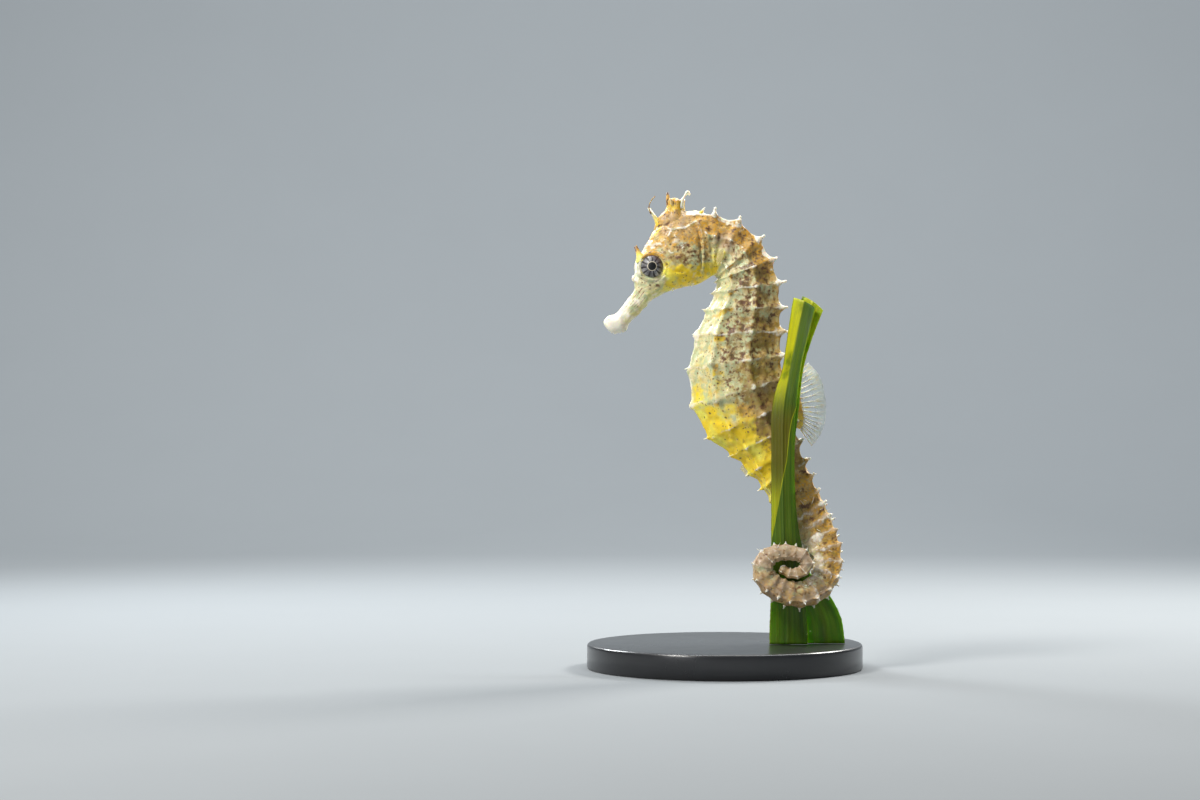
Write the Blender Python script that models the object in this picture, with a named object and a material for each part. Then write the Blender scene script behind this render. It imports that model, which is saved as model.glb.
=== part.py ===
"""A life-size seahorse that grips two cut seagrass leaves, on a plain display stand.

The snout points to -X, the back to +X, the animal's left side to -Y and +Z is up. The origin is the middle of
the stand base's underside. Sizes are in millimetres, and MM turns them into metres.
"""

import math

import bmesh
import bpy
from mathutils import Matrix, Vector

MM = 0.001
GAP = 0.3

# Side outline of the head: each row is a plane across it, with its upper point (x, z), its lower point (x, z)
# and the half width there, from the mouth to the nape.
HEAD_PLANES = (
    ((-28.9, 83.4), (-26.0, 80.2), 1.5),
    ((-28.0, 84.4), (-23.7, 80.8), 2.1),
    ((-26.0, 85.1), (-22.8, 82.8), 1.7),
    ((-23.7, 87.8), (-20.4, 85.0), 1.9),
    ((-21.7, 90.6), (-17.4, 88.3), 2.3),
    ((-21.8, 93.3), (-13.6, 90.3), 3.1),
    ((-21.1, 96.7), (-9.7, 91.5), 4.3),
    ((-19.3, 100.3), (-6.6, 92.0), 4.8),
    ((-17.4, 104.0), (-4.0, 93.4), 5.2),
    ((-14.5, 107.3), (-3.34, 93.97), 5.0),
    ((-10.7, 109.3), (-3.15, 94.1), 4.5),
    ((-6.6, 109.6), (-2.93, 94.17), 4.1),
)
# The trunk in the same form, one row for each bony ring from the shoulder to the first ring of the tail.
TRUNK_RINGS = (
    ((-2.5, 108.4), (-2.69, 94.2), 4.0),
    ((3.2, 106.7), (-2.3, 94.12), 4.3),
    ((8.0, 102.5), (-1.95, 93.86), 4.8),
    ((10.9, 97.8), (-1.75, 92.9), 5.2),
    ((12.6, 92.2), (-2.4, 90.0), 5.6),
    ((13.2, 86.4), (-4.1, 85.9), 6.2),
    ((13.2, 80.6), (-6.7, 80.0), 6.8),
    ((13.3, 75.0), (-8.3, 71.9), 7.1),
    ((14.3, 69.4), (-7.3, 62.9), 7.0),
    ((16.0, 64.1), (-3.5, 55.4), 6.5),
    ((16.8, 59.0), (2.0, 51.1), 5.7),
    ((17.6, 54.2), (6.1, 46.8), 5.1),
    ((19.0, 49.6), (9.2, 43.2), 4.9),
)
SHOULDER = len(HEAD_PLANES)
TAIL_START = SHOULDER + len(TRUNK_RINGS) - 1

# Middle line of the tail (x, y, z): down behind the leaves, round below, up in front of them and inwards.
TAIL_LINE = (
    (14.1, 0.0, 46.4),
    (18.4, -0.4, 38.3),
    (22.3, -2.0, 31.6),
    (24.2, -4.6, 25.4),
    (22.4, -7.2, 20.4),
    (17.9, -9.4, 18.3),
    (13.6, -10.5, 19.0),
    (9.9, -11.1, 21.4),
    (8.5, -11.3, 24.9),
    (10.3, -11.4, 27.5),
    (13.1, -11.4, 28.3),
    (16.0, -11.4, 28.1),
    (18.0, -11.5, 27.3),
    (18.8, -11.6, 25.8),
    (18.1, -11.6, 24.2),
    (16.4, -11.5, 23.4),
    (14.6, -11.4, 23.5),
    (13.2, -11.3, 24.3),
)
TAIL_HALF_DEPTHS = (5.9, 5.6, 5.0, 4.0, 3.3, 3.1, 2.95, 2.6, 1.95, 1.6, 1.1)
# Width over depth of the tail, at its first ring and from the fourth on.
TAIL_WIDTH = (0.83, 0.92)
TAIL_RINGS = 26
# Each ring is this much as long as the one before it.
TAIL_RING_RATIO = 0.968
# The coil leans towards the viewer by this turn, which it takes up between these shares of the tail's length.
COIL_TILT = math.radians(22)
COIL_START = (0.25, 0.45)
TAIL_TIP = (0.55, 0.5)
FINE_STEPS_FROM = 44
LAST = TAIL_START + TAIL_RINGS

# Corners of a section, in degrees from the back. Those of RIDGES carry spines. The trunk's corners turn into
# the tail's between the places of HIP_BLEND.
TRUNK_ANGLES = (0, 28, 50, 75, 98, 122, 150, 180)
TAIL_ANGLES = (0, 45, 66, 90, 114, 135, 157, 180)
UPPER, SIDE, LOWER, KEEL = RIDGES = (1, 3, 5, 7)
HIP_BLEND = (TAIL_START - 3, TAIL_START + 2)
TAIL_ROUNDING = 0.28
# How far the skin is drawn in between two rings of the trunk, of the tail's root and of its tip.
TRUNK_WAIST = 0.45
TAIL_WAIST = 0.3
TIP_WAIST = 0.1
HEAD_SIDES = 20

# Finishes: colour, roughness and metallic value.
CREAM = ((0.80, 0.76, 0.60), 0.5, 0.0)
STRAW = ((0.68, 0.60, 0.30), 0.55, 0.0)
YELLOW = ((0.72, 0.64, 0.20), 0.55, 0.0)
OCHRE = ((0.60, 0.44, 0.20), 0.55, 0.0)
TAWNY = ((0.48, 0.38, 0.22), 0.55, 0.0)
PINK_GREY = ((0.52, 0.44, 0.38), 0.55, 0.0)
FIN_MEMBRANE = ((0.80, 0.83, 0.78), 0.35, 0.0)
FLESHY_FIN = ((0.70, 0.62, 0.30), 0.45, 0.0)
EYE_FINISH = ((0.10, 0.10, 0.11), 0.1, 0.0)
LEAF = ((0.20, 0.36, 0.04), 0.4, 0.0)
BACK_LEAF_FINISH = ((0.28, 0.42, 0.06), 0.4, 0.0)
BLACK_ACRYLIC = ((0.05, 0.05, 0.055), 0.45, 0.0)
STEEL = ((0.62, 0.63, 0.65), 0.3, 1.0)

# The nodes of flesh: the place, counted in planes from the mouth, where each begins, and its finish.
BODY_NODES = {
    "snout": (0.0, CREAM),
    "head": (4.5, STRAW),
    "neck": (11.4, OCHRE),
    "chest": (15.5, STRAW),
    "belly": (18.5, YELLOW),
    "hips": (20.5, YELLOW),
    "tail_1": (24.5, STRAW),
    "tail_2": (27.5, OCHRE),
    "tail_3": (30.5, TAWNY),
    "tail_4": (33.5, TAWNY),
    "tail_5": (36.5, TAWNY),
    "tail_6": (39.5, PINK_GREY),
    "tail_7": (42.5, PINK_GREY),
    "tail_8": (44.5, TAWNY),
    "tail_9": (47.5, TAWNY),
}

# Lengths and root radii of the spines, the first ring of the trunk that has each, and how far each leans from
# square to the skin towards the back.
TRUNK_SPINES = {UPPER: (2.1, 1.1), SIDE: (0.9, 0.8), LOWER: (1.0, 0.8), KEEL: (1.3, 0.9)}
FIRST_SPINE = {UPPER: 0, SIDE: 0, LOWER: 2, KEEL: 4}
SPINE_LEAN = {UPPER: 0.9, SIDE: 0.3, LOWER: 0.3}
SPINE_SINK = 0.9
SPINE_NECK = (0.35, 0.5)
# Size of a spine at the tail's root and from its twelfth ring on, and how many rings have one.
TAIL_SPINE = (2.5, 0.95)
TAIL_SPINE_END = (0.8, 0.5)
TAIL_SPINES = 20
# The first rings of the tail have lower spines too, this much of the upper ones.
LOWER_TAIL_SPINES = 2
LOWER_TAIL_SPINE = (0.4, 0.8)

# The eyeball's centre in the side view, its radius, and how far its centre and its flat back are from the
# middle.
EYE = Vector((-17.5, 0.0, 96.2))
EYE_RADIUS = 3.1
EYE_OUT = 2.3
EYE_BACK = 1.3
# The lid round each eye: radius of the ring, radius of its section, and its distance from the middle.
RIM = (3.3, 0.55)
RIM_OUT = 3.7

# Spines and bumps of the head: root (x, y, z), tip (x, y, z) and root radius, for the animal's left side.
HEAD_SPINES = (
    ((-19.6, -3.0, 99.0), (-21.3, -3.2, 100.7), 0.9),
    ((-12.0, -1.6, 91.0), (-12.8, -1.8, 90.1), 0.8),
    ((-7.2, -1.8, 92.4), (-7.8, -2.0, 91.4), 0.8),
    ((-5.8, -1.2, 108.9), (-4.9, -1.5, 110.5), 0.7),
    ((-16.8, -0.9, 104.8), (-18.2, -1.1, 109.2), 0.9),
)
NASAL_BUMP = (-21.3, 0.0, 93.4)
NASAL_BUMP_RADIUS = 0.9
# Rear edge of the gill cover, as (x, z), laid on the head at this place.
GILL_RIB = ((-6.2, 104.2), (-5.2, 100.5), (-5.3, 97.0), (-6.4, 94.6))
GILL_PLACE = 10.3
GILL_RIB_RADIUS = 0.45
# Two nostrils on each side, as (place, degrees from the back).
NOSTRILS = ((5.15, 50), (5.4, 62))
NOSTRIL_RADIUS = 0.32
# The mouth is a slot across the end of the snout, cut along the snout's own line.
MOUTH = Vector((-27.3, 0.0, 81.7))
MOUTH_SLOT = (1.8, 6.0, 0.35)
SNOUT_AXIS = Vector((0.64, 0.0, 0.77))

# The crown: its foot, the direction in which it stands, and rows of height, half length and half width. The
# first row is sunk into the head, which then cuts it clear.
CORONET_FOOT = Vector((-12.2, 0.0, 107.6))
CORONET_UP = Vector((0.12, 0.0, 1.0)).normalized()
CORONET_LEVELS = ((-3.0, 4.1, 3.0), (0.0, 4.1, 3.0), (2.2, 2.7, 2.4), (3.6, 2.1, 2.1), (4.6, 2.3, 2.3))
CORONET_SIDES = 12
# Root and tip of the front prong, and of the side and rear prongs, which come in pairs.
FRONT_PRONG = ((-13.3, 0.0, 110.9), (-13.8, 0.0, 114.2))
SIDE_PRONG = ((-12.6, -1.6, 111.0), (-13.0, -3.6, 112.9))
REAR_PRONG = ((-10.2, -1.2, 111.0), (-8.5, -1.6, 114.4))
PRONG_RADIUS = 0.75

# Thickness of a fin's membrane, and how far a ray stands above it at the root.
FIN_THICKNESS = 0.5
FIN_RAY = 0.22
# The dorsal fin: where its foot and its free edge run, as (x, z) from the upper to the lower ray, its number
# of rays, and the fleshy ridge that it stands on, as (x, z, radius).
DORSAL_FOOT = ((16.2, 69.8), (17.3, 66.5), (18.5, 62.5), (18.8, 59.5), (18.3, 57.3))
DORSAL_EDGE = ((20.2, 73.3), (22.8, 70.2), (24.2, 65.6), (24.3, 60.0), (23.2, 56.2), (21.0, 53.1))
DORSAL_RAYS = 17
DORSAL_BASE = ((16.0, 67.4, 1.2), (17.0, 64.5, 1.9), (17.7, 61.6, 1.9), (17.6, 59.4, 1.4))
# The small fans behind the gill covers: place, degrees from the back of the upper and lower ray, number of
# rays, length, how far the free edge stands out, and its rise from the upper ray to the lower.
PECTORAL_PLACE = 12.3
PECTORAL_ANGLES = (76, 132)
PECTORAL_RAYS = 8
PECTORAL_LENGTH = 2.8
PECTORAL_OUT = 1.9
PECTORAL_RISE = (0.25, -0.3)
ANAL_FOOT = ((4.6, 49.4), (6.6, 47.4))
ANAL_EDGE = ((3.7, 47.7), (5.6, 45.6))
ANAL_RAYS = 4

# Each leaf: middle (x, y, z), half width and turn about its own length in degrees, from foot to cut end. The
# leaf is folded a little along its midrib.
LEAF_THICKNESS = 0.6
LEAF_FOLD = 0.35
FRONT_LEAF = (
    ((15.0, -4.4, 6.3), 4.6, 0),
    ((15.0, -4.5, 12.0), 4.5, 4),
    ((14.7, -5.4, 18.5), 4.1, 12),
    ((14.1, -7.0, 24.0), 3.6, 5),
    ((13.8, -8.2, 29.0), 3.2, 0),
    ((13.5, -8.6, 38.0), 2.9, -5),
    ((13.4, -9.1, 52.0), 2.8, -5),
    ((13.6, -9.4, 62.0), 2.9, -10),
    ((15.2, -9.7, 71.0), 3.0, -45),
    ((16.7, -9.9, 79.0), 3.1, -40),
    ((18.6, -9.9, 88.0), 3.0, -20),
)
BACK_LEAF = (
    ((24.2, -2.0, 6.3), 4.6, 0),
    ((23.6, -2.0, 11.5), 4.3, 3),
    ((21.3, -2.4, 17.0), 3.6, 12),
    ((17.9, -3.5, 22.0), 2.9, 26),
    ((15.8, -6.1, 29.0), 2.6, 12),
    ((14.2, -7.0, 38.0), 2.6, 0),
    ((13.7, -7.5, 52.0), 2.6, -5),
    ((14.5, -7.8, 62.0), 2.8, -15),
    ((15.8, -7.8, 71.0), 2.9, -40),
    ((17.6, -8.0, 79.0), 3.0, -30),
    ((20.8, -8.2, 88.0), 3.0, -15),
)
LEAF_STEPS = 26

BASE_RADIUS = 33.0
BASE_HEIGHT = 6.0
BASE_BEVEL = 0.7
# The rod stands at (x, y) and ends just under the root of the tail.
ROD_RADIUS = 1.3
ROD = (13.6, 0.7)
ROD_REACH = 42.0

MERGE = 1e-6
SHARP_EDGE = math.radians(50)


def lerp(a, b, share):
    """Value part of the way from a to b."""
    return a + (b - a) * share


def smooth(low, high, value):
    """Zero below low, one above high, and a soft step between."""
    share = min(1.0, max(0.0, (value - low) / (high - low)))
    return share * share * (3 - 2 * share)


def through(points, place):
    """Point of a smooth curve through the given points, at a place counted in points."""
    last = len(points) - 1
    place = min(max(place, 0.0), last)
    i = min(int(place), last - 1)
    t = place - i
    a, b = points[i], points[i + 1]
    before = points[i - 1] if i else a * 2 - b
    after = points[i + 2] if i + 2 <= last else b * 2 - a
    return 0.5 * (a * 2 + (b - before) * t + (before * 2 - a * 5 + b * 4 - after) * t**2
                  + (a * 3 - before - b * 3 + after) * t**3)


class Body:
    """The body as planes from the mouth to the tip of the tail, and the surface through them."""

    def __init__(self):
        rows = HEAD_PLANES + TRUNK_RINGS
        self.backs = [Vector((row[0][0], 0.0, row[0][1])) for row in rows]
        self.bellies = [Vector((row[1][0], 0.0, row[1][1])) for row in rows]
        self.widths = [row[2] for row in rows]
        self.add_tail()

    def add_tail(self, steps=400):
        """Adds a plane for each ring of the tail, ever closer along its middle line."""
        line = [Vector(p) for p in TAIL_LINE]
        fine = [through(line, (len(line) - 1) * i / steps) for i in range(steps + 1)]
        run = [0.0]
        for a, b in zip(fine, fine[1:]):
            run.append(run[-1] + (b - a).length)
        first = (self.backs[-1] - self.bellies[-1]).normalized()
        for ring in range(1, TAIL_RINGS + 1):
            share = (1 - TAIL_RING_RATIO**ring) / (1 - TAIL_RING_RATIO**TAIL_RINGS)
            i = next(k for k in range(1, steps + 1) if run[k] >= share * run[-1] - 1e-9)
            middle = fine[i].lerp(fine[i - 1], (run[i] - share * run[-1]) / (run[i] - run[i - 1]))
            along = (fine[min(i + 1, steps)] - fine[max(i - 2, 0)]).normalized()
            tilt = COIL_TILT * smooth(*COIL_START, share)
            left = Vector((0.0, -math.cos(tilt), math.sin(tilt)))
            out = (left - along * left.dot(along)).cross(along)
            out = first.lerp(out.normalized(), smooth(0.0, 5.0, ring)).normalized()
            half = through(TAIL_HALF_DEPTHS, share * (len(TAIL_HALF_DEPTHS) - 1))
            self.backs.append(middle + out * half)
            self.bellies.append(middle - out * half)
            self.widths.append(half * lerp(*TAIL_WIDTH, smooth(0, 4, ring)))

    def frame(self, place):
        """Middle, direction to the back, direction to the left, half depth and half width at a place."""
        back, belly = through(self.backs, place), through(self.bellies, place)
        ahead = [through(self.backs, place + d) + through(self.bellies, place + d) for d in (-0.05, 0.05)]
        out = (back - belly).normalized()
        left = (ahead[1] - ahead[0]).cross(out).normalized()
        return (back + belly) / 2, out, left, (back - belly).length / 2, through(self.widths, place)

    def corners(self, place):
        """The left half of the section as (towards the back, towards the left), each at most one."""
        share = smooth(*HIP_BLEND, place)
        angles = [lerp(a, b, share) for a, b in zip(TRUNK_ANGLES, TAIL_ANGLES)]
        marks = [-angles[UPPER], *(angles[k] for k in RIDGES)]
        if share > 0:
            marks[-1] = lerp(180, 360 - angles[LOWER], share)
        half = []
        for k, angle in enumerate(angles):
            low = max(m for m in marks if m <= angle)
            high = min(m for m in marks if m >= angle)
            flat = math.cos(math.radians(high - low) / 2) / math.cos(math.radians(angle - (low + high) / 2))
            reach = lerp(flat, 1.0, TAIL_ROUNDING * share)
            half.append((math.cos(math.radians(angle)) * reach, math.sin(math.radians(angle)) * reach))
        back, belly = max(c for c, _ in half), -min(c for c, _ in half)
        side = max(s for _, s in half)
        return [(c / (back if c > 0 else belly), s / side) for c, s in half]

    def waist(self, place):
        """How far the skin is drawn in between two rings."""
        if place < SHOULDER:
            return 0.0
        deep = lerp(TRUNK_WAIST, TAIL_WAIST, smooth(*HIP_BLEND, place))
        deep = lerp(deep, TIP_WAIST, smooth(HIP_BLEND[1], LAST, place))
        return deep * abs(place - round(place)) * 2

    def section(self, place, smooth_head=False):
        """The closed outline of the body at a place, an oval on the head and cornered behind it."""
        middle, out, left, depth, width = self.frame(place)
        if smooth_head:
            angles = [2 * math.pi * i / HEAD_SIDES for i in range(HEAD_SIDES)]
            corners = [(math.cos(a), math.sin(a)) for a in angles]
        else:
            half = self.corners(place)
            corners = half + [(c, -s) for c, s in reversed(half[1:-1])]
        drawn = self.waist(place)
        spokes = [out * (c * depth) + left * (s * width) for c, s in corners]
        return [middle + spoke * (1 - drawn / spoke.length) for spoke in spokes]

    def ridge(self, place, corner, side):
        """Point on a ridge and the direction in which its spine stands."""
        middle, out, left, depth, width = self.frame(place)
        c, s = self.corners(place)[corner]
        if corner == KEEL:
            return middle - out * depth, -out
        point = middle + out * (c * depth) + left * (s * width * side)
        square = (out * (c / depth) + left * (s * side / width)).normalized()
        return point, square + out * (SPINE_LEAN[corner] * c)

    def surface(self, place, angle):
        """Point of the head or trunk and its outward direction, at an angle in degrees from the back."""
        middle, out, left, depth, width = self.frame(place)
        c, s = math.cos(math.radians(angle)), math.sin(math.radians(angle))
        square = (out * (c / depth) + left * (s / width)).normalized()
        return middle + out * (c * depth) + left * (s * width), square


BODY = Body()


def material(name, finish):
    """A plain finish made from a colour, a roughness and a metallic value."""
    colour, roughness, metallic = finish
    made = bpy.data.materials.new(name)
    made.use_nodes = True
    shader = made.node_tree.nodes["Principled BSDF"]
    shader.inputs["Base Color"].default_value = (*colour, 1.0)
    shader.inputs["Roughness"].default_value = roughness
    shader.inputs["Metallic"].default_value = metallic
    return made


def shade(mesh):
    """Shades a mesh smooth, with its sharp edges kept."""
    mesh.shade_smooth()
    mesh.set_sharp_from_angle(angle=SHARP_EDGE)


def new_object(name, bm, finish=None):
    """An object in metres from a bmesh in millimetres, with a material of its own if a finish is given."""
    bmesh.ops.scale(bm, vec=(MM, MM, MM), verts=bm.verts)
    mesh = bpy.data.meshes.new(name)
    bm.to_mesh(mesh)
    bm.free()
    shade(mesh)
    if finish:
        mesh.materials.append(material(name, finish))
    made = bpy.data.objects.new(name, mesh)
    bpy.context.scene.collection.objects.link(made)
    return made


def loft(sections):
    """A closed solid through outlines of equal length, extruded from one to the next."""
    bm = bmesh.new()
    face = bm.faces.new([bm.verts.new(p) for p in sections[0]])
    for count, outline in enumerate(sections[1:]):
        region = [face, *face.edges]
        made = bmesh.ops.extrude_face_region(bm, geom=region, use_keep_orig=count == 0)["geom"]
        face = next(g for g in made if isinstance(g, bmesh.types.BMFace))
        for vert, point in zip(face.verts, outline):
            vert.co = point
    bmesh.ops.remove_doubles(bm, verts=bm.verts[:], dist=1e-4)
    bmesh.ops.triangulate(bm, faces=bm.faces[:])
    bmesh.ops.recalc_face_normals(bm, faces=bm.faces[:])
    return bm


def circle(middle, along, radius, sides):
    """Outline of a small round section."""
    across = along.cross(Vector((0.31, 0.52, 0.79))).normalized()
    other = along.cross(across).normalized()
    return [middle + (across * math.cos(a) + other * math.sin(a)) * radius
            for a in (2 * math.pi * i / sides for i in range(sides))]


def spine(root, direction, length, radius, sides=4):
    """A tapered spine with a flared foot that is sunk into the body."""
    along = direction.normalized()
    neck, slim = SPINE_NECK
    rows = ((-SPINE_SINK, radius), (neck * length, radius * slim), (length, 1e-5))
    return loft([circle(root + along * reach, along, size, sides) for reach, size in rows])


def rod(points, radii, sides=6):
    """A round solid along a line of points, with a radius at each."""
    sections = []
    for i, (point, radius) in enumerate(zip(points, radii)):
        along = points[min(i + 1, len(points) - 1)] - points[max(i - 1, 0)]
        sections.append(circle(point, along.normalized(), radius, sides))
    return loft(sections)


def ball(centre, radius, segments=16, rings=10):
    """A ball whose poles point to either side of the animal."""
    bm = bmesh.new()
    turn = Matrix.Rotation(math.pi / 2, 4, "X")
    bmesh.ops.create_uvsphere(bm, u_segments=segments, v_segments=rings, radius=radius, matrix=turn)
    bmesh.ops.translate(bm, vec=centre, verts=bm.verts[:])
    bmesh.ops.triangulate(bm, faces=bm.faces[:])
    return bm


def box(centre, size, turn):
    """A box about a centre, turned about the Y axis."""
    bm = bmesh.new()
    bmesh.ops.create_cube(bm, size=1.0, matrix=Matrix.Diagonal((*size, 1.0)))
    bmesh.ops.rotate(bm, matrix=Matrix.Rotation(turn, 3, "Y"), verts=bm.verts[:])
    bmesh.ops.translate(bm, vec=centre, verts=bm.verts[:])
    return bm


def torus(centre, major, minor, segments=16, sides=5):
    """A ring in the XZ plane, spun from a small circle."""
    bm = bmesh.new()
    turn = Matrix.Translation((major, 0.0, 0.0))
    bmesh.ops.create_circle(bm, segments=sides, radius=minor, matrix=turn)
    bmesh.ops.spin(bm, geom=bm.edges[:], axis=(0, 1, 0), cent=(0, 0, 0), angle=2 * math.pi, steps=segments,
                   use_merge=True)
    bmesh.ops.translate(bm, vec=centre, verts=bm.verts[:])
    bmesh.ops.triangulate(bm, faces=bm.faces[:])
    bmesh.ops.recalc_face_normals(bm, faces=bm.faces[:])
    return bm


def grid_solid(front, back):
    """A thin solid between two equal grids of points, split into triangles alike on both faces."""
    bm = bmesh.new()
    for grid in (front, back):
        sheet = bmesh.ops.create_grid(bm, x_segments=len(grid[0]) - 1, y_segments=len(grid) - 1)["verts"]
        for vert, point in zip(sheet, (point for row in grid for point in row)):
            vert.co = point
    bmesh.ops.triangulate(bm, faces=bm.faces[:], quad_method="FIXED")
    bmesh.ops.bridge_loops(bm, edges=[edge for edge in bm.edges if edge.is_boundary])
    bmesh.ops.triangulate(bm, faces=bm.faces[:])
    bmesh.ops.recalc_face_normals(bm, faces=bm.faces[:])
    return bm


def boolean(target, others, operation):
    """Joins or cuts the target with all the others at once, removes them and keeps the largest surface."""
    group = bpy.data.collections.new("pieces")
    bpy.context.scene.collection.children.link(group)
    for other in others:
        bpy.context.scene.collection.objects.unlink(other)
        group.objects.link(other)
    modifier = target.modifiers.new("join", "BOOLEAN")
    modifier.operation = operation
    modifier.operand_type = "COLLECTION"
    modifier.collection = group
    modifier.solver = "EXACT"
    graph = bpy.context.evaluated_depsgraph_get()
    mesh = bpy.data.meshes.new_from_object(target.evaluated_get(graph))
    target.modifiers.remove(modifier)
    target.data = mesh
    for other in others:
        bpy.data.objects.remove(other)
    bpy.data.collections.remove(group)
    keep_largest(target)


def keep_largest(target):
    """Keeps the connected surface that spans the most, split into triangles."""
    bm = bmesh.new()
    bm.from_mesh(target.data)
    bmesh.ops.remove_doubles(bm, verts=bm.verts[:], dist=MERGE)
    bmesh.ops.dissolve_degenerate(bm, edges=bm.edges[:], dist=MERGE)
    left, groups = set(bm.verts), []
    while left:
        reached, front = set(), [next(iter(left))]
        while front:
            vert = front.pop()
            if vert not in reached:
                reached.add(vert)
                front.extend(edge.other_vert(vert) for edge in vert.link_edges)
        left -= reached
        groups.append(reached)
    groups.sort(key=lambda g: sum(max(v.co[k] for v in g) - min(v.co[k] for v in g) for k in range(3)))
    for group in groups[:-1]:
        bmesh.ops.delete(bm, geom=list(group), context="VERTS")
    bmesh.ops.triangulate(bm, faces=bm.faces[:])
    bm.to_mesh(target.data)
    bm.free()
    shade(target.data)


def swollen(source, by):
    """A copy of an object with its surface moved outwards, to cut a neighbour clear of it."""
    bm = bmesh.new()
    bm.from_mesh(source.data)
    bm.normal_update()
    moves = [(v, v.normal * (min(v.calc_shell_factor(), 1.6) * by * MM)) for v in bm.verts]
    for vert, move in moves:
        vert.co += move
    mesh = bpy.data.meshes.new("cutter")
    bm.to_mesh(mesh)
    bm.free()
    made = bpy.data.objects.new("cutter", mesh)
    bpy.context.scene.collection.objects.link(made)
    return made


def body_length(name, start, end, finish):
    """One length of the body. Where it meets a neighbour its end is drawn in by half the gap."""
    steps = 4 if start > FINE_STEPS_FROM else 2
    inner = [r + k / steps for r in range(math.floor(start), math.ceil(end)) for k in range(steps)]
    places = [start, *(p for p in inner if start + 0.95 / steps < p < end - 0.95 / steps), end]
    sections = [BODY.section(p, end < SHOULDER) for p in places]
    for k, sign in ((0, 1), (-1, -1)):
        if 0 < places[k] < LAST:
            out, left = BODY.frame(places[k])[1:3]
            sections[k] = [p + out.cross(left) * (sign * GAP / 2) for p in sections[k]]
    if end >= LAST:
        tip = sum(sections[-1], Vector()) / len(sections[-1])
        along = (tip - sum(sections[-2], Vector()) / len(sections[-2])).normalized()
        slim, reach = TAIL_TIP
        sections.append([tip + (p - tip) * slim + along * reach for p in sections[-1]])
    return new_object(name, loft(sections), finish)


def spine_rows(ring):
    """Length and root radius of each ridge's spine on a ring."""
    tail = ring - TAIL_START
    if tail <= 0:
        return {ridge: size for ridge, size in TRUNK_SPINES.items() if ring >= SHOULDER + FIRST_SPINE[ridge]}
    share = smooth(-2, 12, tail)
    size = [lerp(a, b, share) for a, b in zip(TAIL_SPINE, TAIL_SPINE_END)]
    if tail > LOWER_TAIL_SPINES:
        return {UPPER: size}
    return {UPPER: size, LOWER: [a * b for a, b in zip(size, LOWER_TAIL_SPINE)]}


def ring_spines(start, end):
    """The spines of every ring between two places."""
    made = []
    for ring in range(max(SHOULDER, math.ceil(start)), min(TAIL_START + TAIL_SPINES, math.floor(end)) + 1):
        for ridge, (length, radius) in spine_rows(ring).items():
            for side in (1,) if ridge == KEEL else (1, -1):
                point, direction = BODY.ridge(ring, ridge, side)
                made.append(new_object("piece", spine(point, direction, length, radius)))
    return made


def mirrored(point, side):
    """A point of the left side, or its twin on the right."""
    return Vector((point[0], point[1] * side, point[2]))


def gill_rib(side):
    """The raised rear edge of a gill cover, laid on the head."""
    middle, out, left, depth, width = BODY.frame(GILL_PLACE)
    line = []
    for point in flat(GILL_RIB):
        up = (point - middle).dot(out) / depth
        line.append(point + left * (math.sqrt(1 - up * up) * width * side))
    return rod(line, [GILL_RIB_RADIUS] * len(line), 5)


def head_pieces():
    """Lids, spines, bumps and gill ribs of the head."""
    made = [new_object("piece", ball(Vector(NASAL_BUMP), NASAL_BUMP_RADIUS, 8, 6))]
    for side in (1, -1):
        made.append(new_object("piece", torus(EYE + Vector((0, -RIM_OUT * side, 0)), *RIM)))
        for root, tip, radius in HEAD_SPINES:
            a, b = mirrored(root, side), mirrored(tip, side)
            made.append(new_object("piece", spine(a, b - a, (b - a).length, radius)))
        made.append(new_object("piece", gill_rib(side)))
    return made


def mouth_slot():
    """Cutter for the line of the mouth."""
    turn = -math.atan2(SNOUT_AXIS.z, SNOUT_AXIS.x)
    return new_object("cutter", box(MOUTH, MOUTH_SLOT, turn))


def eye_sockets():
    """Cutters for the eyes' sockets and the nostrils."""
    made = []
    for side in (1, -1):
        bm = ball(EYE + Vector((0, -EYE_OUT * side, 0)), EYE_RADIUS + GAP, 18, 12)
        press_flat(bm, side, EYE_BACK - GAP)
        made.append(new_object("cutter", bm))
        for place, angle in NOSTRILS:
            point = BODY.surface(place, angle)[0]
            point.y *= side
            made.append(new_object("cutter", ball(point, NOSTRIL_RADIUS, 8, 6)))
    return made


def press_flat(bm, side, level):
    """Presses the inner side of an eye's ball flat at a distance from the animal's middle."""
    for vert in bm.verts:
        if -vert.co.y * side < level:
            vert.co.y = -level * side
    bmesh.ops.remove_doubles(bm, verts=bm.verts[:], dist=0.01)
    bmesh.ops.dissolve_degenerate(bm, edges=bm.edges[:], dist=0.01)


def eye(name, side):
    """An eyeball, flat where it lies in the head."""
    bm = ball(EYE + Vector((0, -EYE_OUT * side, 0)), EYE_RADIUS, 18, 12)
    press_flat(bm, side, EYE_BACK)
    return new_object(name, bm, EYE_FINISH)


def coronet():
    """The five-pointed crown on the nape, still whole at its foot."""
    sections = []
    for height, half_length, half_width in CORONET_LEVELS:
        middle = CORONET_FOOT + CORONET_UP * height
        sections.append([middle + Vector((math.cos(a) * half_length, math.sin(a) * half_width, 0.0))
                         for a in (2 * math.pi * i / CORONET_SIDES for i in range(CORONET_SIDES))])
    made = new_object("coronet", loft(sections), OCHRE)
    prongs = [FRONT_PRONG]
    prongs += [[mirrored(p, side) for p in prong] for prong in (SIDE_PRONG, REAR_PRONG) for side in (1, -1)]
    pieces = []
    for root, tip in prongs:
        along = Vector(tip) - Vector(root)
        pieces.append(new_object("piece", spine(Vector(root), along, along.length, PRONG_RADIUS)))
    boolean(made, pieces, "UNION")
    return made


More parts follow.
